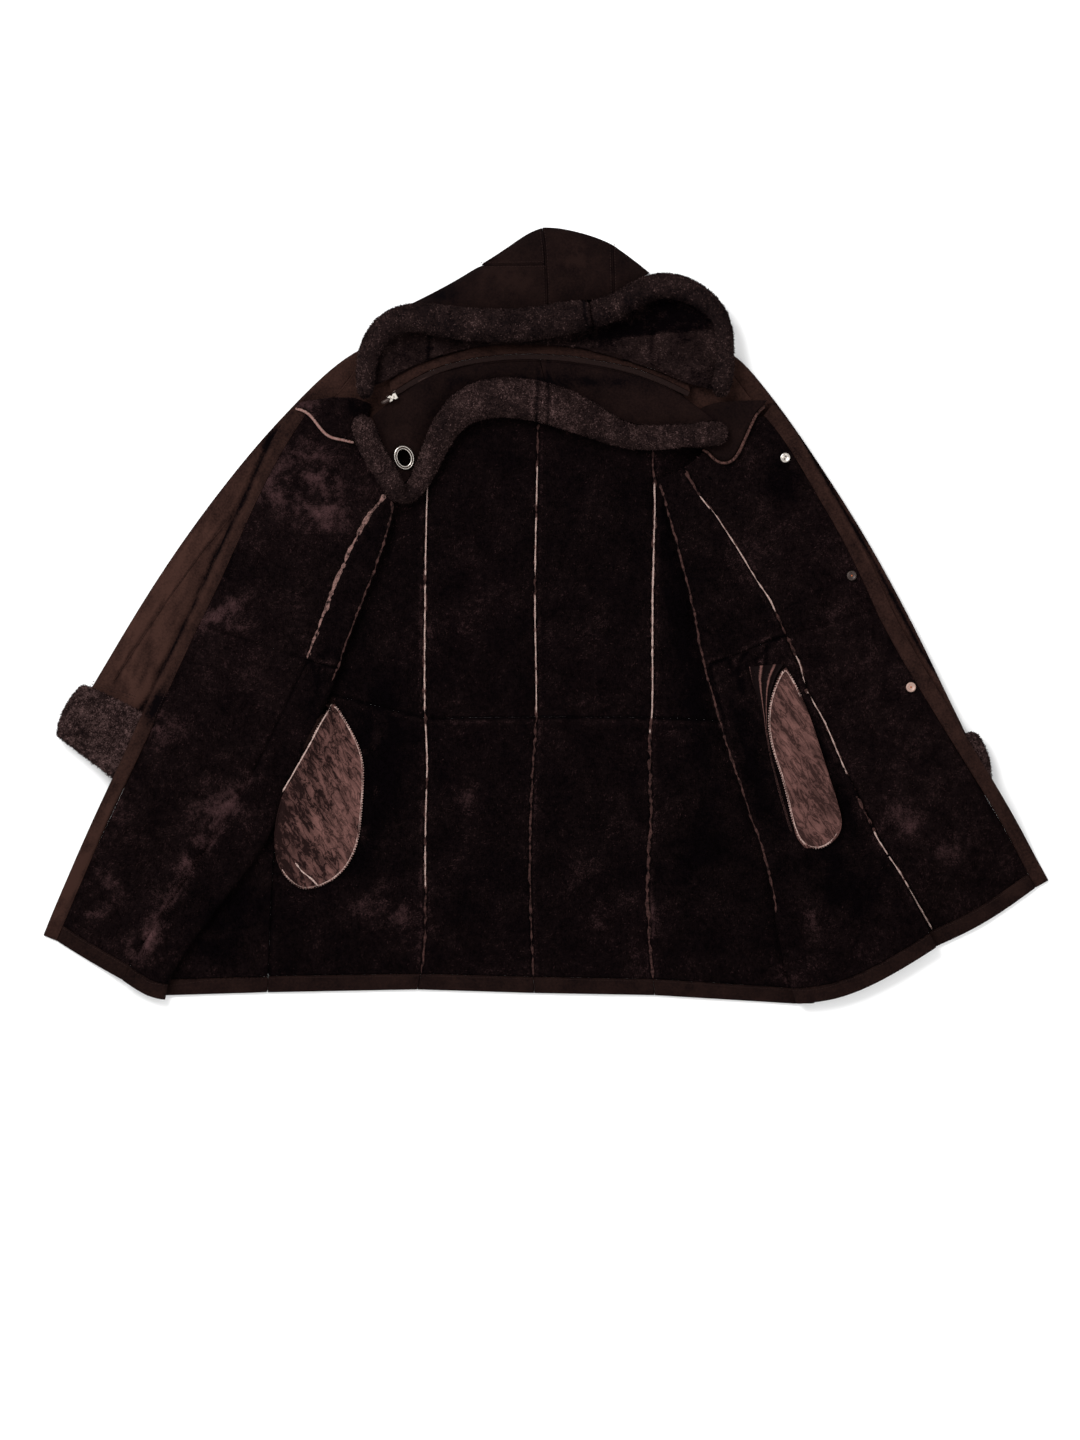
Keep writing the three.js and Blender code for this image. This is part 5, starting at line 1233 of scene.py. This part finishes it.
class COAT_OT_seams(CoatOperator, bpy.types.Operator):
    """Raw skin edges along the inside seams, welts and stitching on the suede"""

    bl_idname = "coat.seams"
    bl_label = "Seams"

    def execute(self, context):
        for name, (pairs, _, _, edge) in SEAMS.items():
            if edge:
                self.cut_edge(name, {node for pair in pairs for node in pair}, *edge)
        for name, nodes, heights, way in (
            ("side_right_fold_edge", ("side_right_upper", "side_right_lower"), (184, -420), 1),
            ("side_left_fold_edge", ("side_left_upper", "side_left_lower"), (160, -100), -1),
        ):
            line = fold_edge(nodes, heights, way)
            ridge(name, line, 2.6 * MM, 1.0 * MM, "wool_edge", "piping", 0.9, seed=8)
        for name, (width, height, finish, slot_name, ragged, line) in STRIPS.items():
            ridge(name, np.array(line) * MM, width * MM, height * MM, finish, slot_name, ragged)
        self.crown()
        self.neck()
        self.hems()
        for side in ("left", "right"):
            self.pinked(side)
        self.facing()
        return {"FINISHED"}

    def cut_edge(self, name, nodes, finish, width, height, shown):
        """The cut skin that stands up in a seam, with the wool along it."""
        line = seam_lines()[name]
        ragged = 0.45 if finish == "soft_edge" else 0.4
        size = (width * MM, height * MM)
        ridge(name + "_edge", line, *size, finish, "piping", ragged, nodes, shown, len(name))
        if finish == "raw_edge":
            size = (width * 1.7 * MM, height * 0.5 * MM)
            ridge(name + "_wool_edge", line, *size, "wool_edge", "piping", 0.9, nodes, None, 4)

    def crown(self):
        """The welts of the hood's crown, with a row of stitches on each side."""
        parts = ("centre", "right", "yoke")
        welts = [seam_lines()[f"crown_{part}"] for part in parts]
        for part, line in zip(parts, welts):
            ridge(f"crown_{part}_welt", line, 1.8 * MM, 0.7 * MM, "suede_hood", "suede")
        runs = [line + sideways(line) * d * MM for line in welts for d in (-3.2, 3.2)]
        stitches("crown_stitching", [spaced(run, 8 * MM) for run in runs], self.sizes)

    def neck(self):
        """The welt between the neckband and the hood's back."""
        rim = vertex_array(SKINS["hood_neckband"].data)
        first, last, near = rim[:, 0].min() + 12 * MM, rim[:, 0].max() - 12 * MM, 7 * MM
        line = []
        for x in np.linspace(first, last, 30):
            line.append((x, rim[np.abs(rim[:, 0] - x) < near][:, 1].max() + 0.8 * MM))
        joint = ("hood_neckband", "hood_back")
        line = softened(np.array(line), 1)
        ridge("neckband_welt", line, 5.4 * MM, 0.8 * MM, "suede_collar", "suede", nodes=joint)

    def hems(self):
        """The rows of stitches beside the turned edges of the fronts, the hem and the left cuff."""
        bands, hems, inside = [], [], 3.0 * MM
        for side in ("left", "right"):
            inner = joined(*(seam(f"front_{side}_band", f"front_{side}_{row}") for row in ("lower", "upper")))
            inner = softened(spaced(inner, 12 * MM), 3)
            turn = 1 if np.mean(sideways(inner)[:, 0]) * (-1 if side == "left" else 1) > 0 else -1
            bands.append(inner + sideways(inner) * turn * inside)
            for part in ("back_centre", "back_side", "side", "front"):
                line = spaced(seam(f"{part}_{side}_hem", f"{part}_{side}_lower"), 12 * MM)
                across = sideways(line)
                turn = -1 if across[:, 1].mean() > 0 else 1
                hems.append(line + across * turn * inside)
        stitches("front_band_stitching", bands, self.sizes)
        stitches("hem_stitching", hems, self.sizes)
        stitches("cuff_stitching", [np.array(row) * MM for row in CUFF_STITCHES], self.sizes)

    def pinked(self, side):
        """A thin strip along the free edge of a pocket bag, cut in teeth."""
        line = softened(rim_of(f"pocket_{side}"), 4)[:-1]
        low, high = line.min(0), line.max(0)
        across, tall = ((line - low) / (high - low)).T
        free = (across > 0.42) | (tall < 0.12) if side == "left" else (across < 0.5) | (tall < 0.1)
        start = int(np.argmax(free & ~np.roll(free, 1)))
        line, free = np.roll(line, -start, axis=0), np.roll(free, -start)
        line = softened(spaced(line[: int(np.argmin(free))], self.sizes.pinking / 2), 3)
        across = sideways(line)
        if ((line - (low + high) / 2) * across).sum() < 0:
            across = -across
        points = []
        for i, ((x, y), (ax, ay)) in enumerate(zip(line, across)):
            reach = 1.5 if i % 2 else 0.1
            z = on_top(x - ax * 3.2 * MM, y - ay * 3.2 * MM)[0].z
            for d, lift in ((-1.7, 0.5), (reach, -0.6), (reach, -1.4), (-1.7, -1.4)):
                points.append((x + ax * d * MM, y + ay * d * MM, z + lift * MM))
        name = f"pocket_{side}_pinking"
        add_piece(name, mesh_from(name, points, shell(0, len(line), 4)), "pinking", smooth=False)

    def facing(self):
        """The satin facing beside the right pocket bag, gathered at its top into soft folds."""
        left, right = (softened(evenly(np.array(edge) * MM, 90), 2) for edge in FACING)
        count, ribs = len(left), 25
        points, faces, shade = [], [], []
        for layer in (0, 1):
            for i in range(count):
                t = i / (count - 1)
                gather = max(0.0, 1 - 2.6 * t) ** 0.7
                for k in range(ribs):
                    u = k / (ribs - 1)
                    x, y = left[i] + (right[i] - left[i]) * u
                    fold = 0.5 + 0.5 * math.cos(2 * math.pi * (2.6 * u + 0.5 * t) + 0.6)
                    lift = 0.9 + 3.4 * gather * fold if layer else 0.3
                    points.append((x, y, on_top(x, y)[0].z + lift * MM))
                    # Painted light: the folds' crests painted lighter as highlight, the facing painted darker
                    # towards its foot, and the layer beneath painted dark as shade.
                    shade.append(1.5 * fold**7 - 0.95 - 0.5 * t if layer else -1)
        sheet = count * ribs
        for i in range(count - 1):
            for k in range(ribs - 1):
                a = i * ribs + k
                faces.append((a, a + 1, a + ribs + 1, a + ribs))
                faces.append(tuple(sheet + v for v in (a, a + ribs, a + ribs + 1, a + 1)))
        rim = list(range(ribs)) + [i * ribs + ribs - 1 for i in range(1, count)]
        rim += list(range(sheet - 2, sheet - ribs - 1, -1)) + [i * ribs for i in range(count - 2, 0, -1)]
        for a, b in zip(rim, rim[1:] + rim[:1]):
            faces.append((b, a, a + sheet, b + sheet))
        mesh = mesh_from("pocket_right_lining", points, faces)
        set_shade(mesh, shade)
        piece = add_piece("pocket_right_lining", mesh, "satin")


class COAT_OT_fastenings(CoatOperator, bpy.types.Operator):
    """The zip with its slider, the ring in the collar and the backs of the press studs"""

    bl_idname = "coat.fastenings"
    bl_label = "Fastenings"

    def execute(self, context):
        dress("hood_zip", "tape", 1, 0.9)
        self.zip_rows()
        self.slider()
        self.ring()
        self.studs()
        return {"FINISHED"}

    def zip_rows(self):
        """The zip's teeth and the folded edges beside them, along the middle of its tape."""
        points = vertex_array(SKINS["hood_zip"].data)[:, :2]
        stations = np.linspace(points[:, 0].min(), points[:, 0].max(), 30)
        line = [points[np.argsort(np.abs(points[:, 0] - x))[:16]].mean(0) for x in stations]
        line = softened(spaced(np.array(line), self.sizes.zip_pitch), 6)
        across = sideways(line)
        if across[:, 1].mean() < 0:
            across = -across
        near = np.array([np.argmin(np.linalg.norm(line - p, axis=1)) for p in points])
        half = float(np.median(np.abs(((points - line[near]) * across[near]).sum(1)))) / MM
        self.teeth(line[: int(TEETH_SHOW * len(line))], across)
        share = (line[:, 0] - line[0, 0]) / (line[-1, 0] - line[0, 0])
        for name, (side, offset, start, end, width, finish) in ZIP_EDGES.items():
            part = (share >= start) & (share <= end)
            beside = line + across * (side * half + offset) * MM
            ridge(name, beside[part], width * MM, 1.1 * MM, finish, "zip_tape")

    def teeth(self, line, across):
        """A row of moulded teeth, each a low ridge across the line, by turns to either side."""
        section = ((-1.5, 0.0), (-1.1, 0.9), (1.1, 0.9), (1.5, 0.0))
        tooth = ((0, 1, 3, 2), (2, 3, 5, 4), (4, 5, 7, 6), (0, 2, 4, 6), (1, 7, 5, 3), (0, 6, 7, 1))
        points, faces = [], []
        for i, ((x, y), (ax, ay)) in enumerate(zip(line, across)):
            level = on_top(x, y)[0].z
            shift = 0.3 if i % 2 else -0.3
            start = len(points)
            for w, height in section:
                for t in (-0.7, 0.7):
                    u = (w + shift) * MM
                    points.append((x + ax * u + ay * t * MM, y + ay * u - ax * t * MM, level + height * MM))
            faces += [tuple(start + corner for corner in face) for face in tooth]
        add_piece("zip_teeth", mesh_from("zip_teeth", points, faces), "teeth", smooth=False)

    def slider(self):
        """A zip slider from above: two shoulders, a waist, a bridge and a short pull."""
        low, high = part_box("zip_slider")
        centre = (low + high) / 2
        turn = math.radians(28)
        near_side = [(-6.5, -4.0), (-2.2, -4.4), (-1.4, -2.9), (1.4, -2.9), (2.2, -4.6), (6.6, -4.2)]
        outline = near_side + [(u, -v) for u, v in reversed(near_side)]

        def place(u, v, z):
            return (
                centre.x + (u * math.cos(turn) - v * math.sin(turn)) * MM,
                centre.y + (u * math.sin(turn) + v * math.cos(turn)) * MM,
                z,
            )

        def bar(sections, level):
            """A flat bar through sections of place along it, half width, top and bottom, in mm."""
            points = []
            for u, half, top, bottom in sections:
                for v, z in ((-half, top), (half, top), (half, bottom), (-half, bottom)):
                    points.append(place(u, v, level + z * MM))
            return points

        points, count = [], len(outline)
        levels = (low.z, low.z + 0.8 * MM, high.z + 0.6 * MM, high.z + 1.3 * MM)
        for z, grow in zip(levels, (0.92, 1.0, 1.0, 0.86)):
            points += [place(u * grow, v * grow, z) for u, v in outline]
        faces = shell(0, 4, count) + shell(4 * count, 4, 4)
        bridge = [(-3.6, 1.1, 0.9, 0.0), (-2.2, 1.2, 2.6, 1.7), (1.8, 1.2, 2.6, 1.7), (3.4, 1.1, 0.9, 0.0)]
        mesh = mesh_from("zip_slider_body", points + bar(bridge, high.z), faces)
        piece = add_piece("zip_slider_body", mesh, "nickel", smooth=False)
        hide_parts("zip_slider")
        tag = [(-4.0, 1.6, 2.1, 1.4), (-7.0, 2.4, 2.2, 1.5), (-14.0, 2.6, 1.3, 0.6), (-17.5, 1.8, 0.9, 0.2)]
        mesh = mesh_from("zip_pull", bar(tag, high.z), shell(0, 4, 4))
        add_piece("zip_pull", mesh, "gunmetal")

    def ring(self):
        """The oval ring in the collar, with a groove round its upper face and a dark ring laid in the groove
        as painted shade.
        """
        piece = dress("collar_eyelet", "nickel", 2, 0.0)
        points = vertex_array(piece.data)
        centre = points.mean(0)
        flat = np.linalg.svd(points - centre, full_matrices=False)[2]
        if flat[2][2] < 0:
            flat[2] = -flat[2]
        u, v, w = ((points - centre) @ axis for axis in flat)
        wire = 2.75 * MM
        a, b = np.abs(u).max() - wire, np.abs(v).max() - wire
        off = (np.sqrt((u / a) ** 2 + (v / b) ** 2) - 1) * (a + b) / 2
        groove = np.exp(-((off / (0.95 * MM)) ** 2)) * (w > 0)
        points -= flat[2] * (groove * 1.5 * MM)[:, None]
        move_vertices(piece.data, points)
        # A dark ring in the groove: painted shade.
        groove_shade_ring, faces, turns = [], [], 72
        for k in range(turns):
            t = 2 * math.pi * k / turns
            out = flat[0] * math.cos(t) * a + flat[1] * math.sin(t) * b
            side = out / np.linalg.norm(out)
            foot = centre + out + flat[2] * (w.max() - 1.1 * MM)
            for du, dz in ((-1.05, 0), (-0.8, 0.7), (0.8, 0.7), (1.05, 0)):
                groove_shade_ring.append(foot + (side * du + flat[2] * dz) * MM)
        for k in range(turns):
            for q in range(4):
                p0, p1 = 4 * k + q, 4 * k + (q + 1) % 4
                faces.append((p0, p1, (p1 + 4) % (4 * turns), (p0 + 4) % (4 * turns)))
        mesh = mesh_from("collar_eyelet_groove", groove_shade_ring, faces)
        add_piece("collar_eyelet_groove", mesh, "gunmetal")

    def studs(self):
        """The inside caps of three press studs: plated, blackened and bare, as they have worn."""
        for node, (body, slot_name, middle) in STUDS.items():
            low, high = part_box(node)
            centre = (low + high) / 2
            centre.z = low.z
            normal = on_top(centre.x, centre.y)[1]
            normal = (normal + Vector((0, 0, 2))).normalized()
            piece = turned(f"{node}_cap", centre, normal, STUD_CAP, body)
            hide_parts(node)
            middle_place = centre + normal * 0.8 * MM
            if node == "snap_1":
                for letter, side in (("a", -1.9), ("b", 1.9)):
                    place = middle_place + Vector((side * 0.5 * MM, side * MM, 0))
                    turned(f"{node}_hole_{letter}", place, normal, STUD_HOLE, middle, 12)
            else:
                turned(f"{node}_rivet", middle_place, normal, STUD_RIVET, middle, 16)


def flat_cut(node):
    """The size that a node's skin was cut to: width, length and area in metres, from the half of
    its wall's area and the smallest rectangle round it as it lies."""
    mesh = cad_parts[node].data
    mesh.calc_loop_triangles()
    area = sum(triangle.area for triangle in mesh.loop_triangles) / 2
    points = vertex_array(mesh)[:, :2]
    sides = []
    for degrees in range(0, 90, 3):
        t = math.radians(degrees)
        turned_points = points @ np.array([[math.cos(t), -math.sin(t)], [math.sin(t), math.cos(t)]])
        sides.append(sorted(float(side) for side in np.ptp(turned_points, axis=0)))
    width, length = min(sides, key=lambda pair: pair[0] * pair[1])
    width = min(max(width, area / length / MOST_FILL), area / length / LEAST_FILL)
    return round(width, 3), round(length, 3), round(area, 4)


class COAT_OT_sheets(CoatOperator, bpy.types.Operator):
    """Works out the flat cut of every skin, and finds the sewn-on pieces and the wool that go with it;
    neither is kept
    """

    bl_idname = "coat.sheets"
    bl_label = "State the cuts"

    def execute(self, context):
        for node, skin in SKINS.items():
            if node in NOT_SHEETS:
                continue
            width, length, area = flat_cut(node)
            goes = [SKINS[part] for part, sheet in SEWN_TO.items() if sheet == node]
            if node in WOOL:
                goes.append(WOOL[node])
        return {"FINISHED"}


class COAT_PT_panel(bpy.types.Panel):
    """Lists the steps that dress the coat"""

    bl_idname = "COAT_PT_panel"
    bl_label = "Sheepskin coat"
    bl_space_type = "VIEW_3D"
    bl_region_type = "UI"
    bl_category = "Coat"

    def draw(self, context):
        for group in (context.scene.coat_sizes, context.scene.coat_colours):
            box = self.layout.box()
            for name in group.__annotations__:
                box.prop(group, name)
        for operator in OPERATORS:
            self.layout.operator(operator.bl_idname)


OPERATORS = [
    COAT_OT_stage,
    COAT_OT_back,
    COAT_OT_sleeves,
    COAT_OT_fronts,
    COAT_OT_collar,
    COAT_OT_hood,
    COAT_OT_pockets,
    COAT_OT_wool,
    COAT_OT_seams,
    COAT_OT_fastenings,
    COAT_OT_sheets,
]
CLASSES = [CoatSizes, CoatColours, *OPERATORS, COAT_PT_panel]


def register():
    for item in CLASSES:
        bpy.utils.register_class(item)
    bpy.types.Scene.coat_sizes = PointerProperty(type=CoatSizes)
    bpy.types.Scene.coat_colours = PointerProperty(type=CoatColours)


def unregister():
    del bpy.types.Scene.coat_sizes, bpy.types.Scene.coat_colours
    for item in reversed(CLASSES):
        bpy.utils.unregister_class(item)


def main():
    register()
    for operator in OPERATORS:
        group, name = operator.bl_idname.split(".")
        getattr(getattr(bpy.ops, group), name)()


if __name__ == "__main__":
    main()
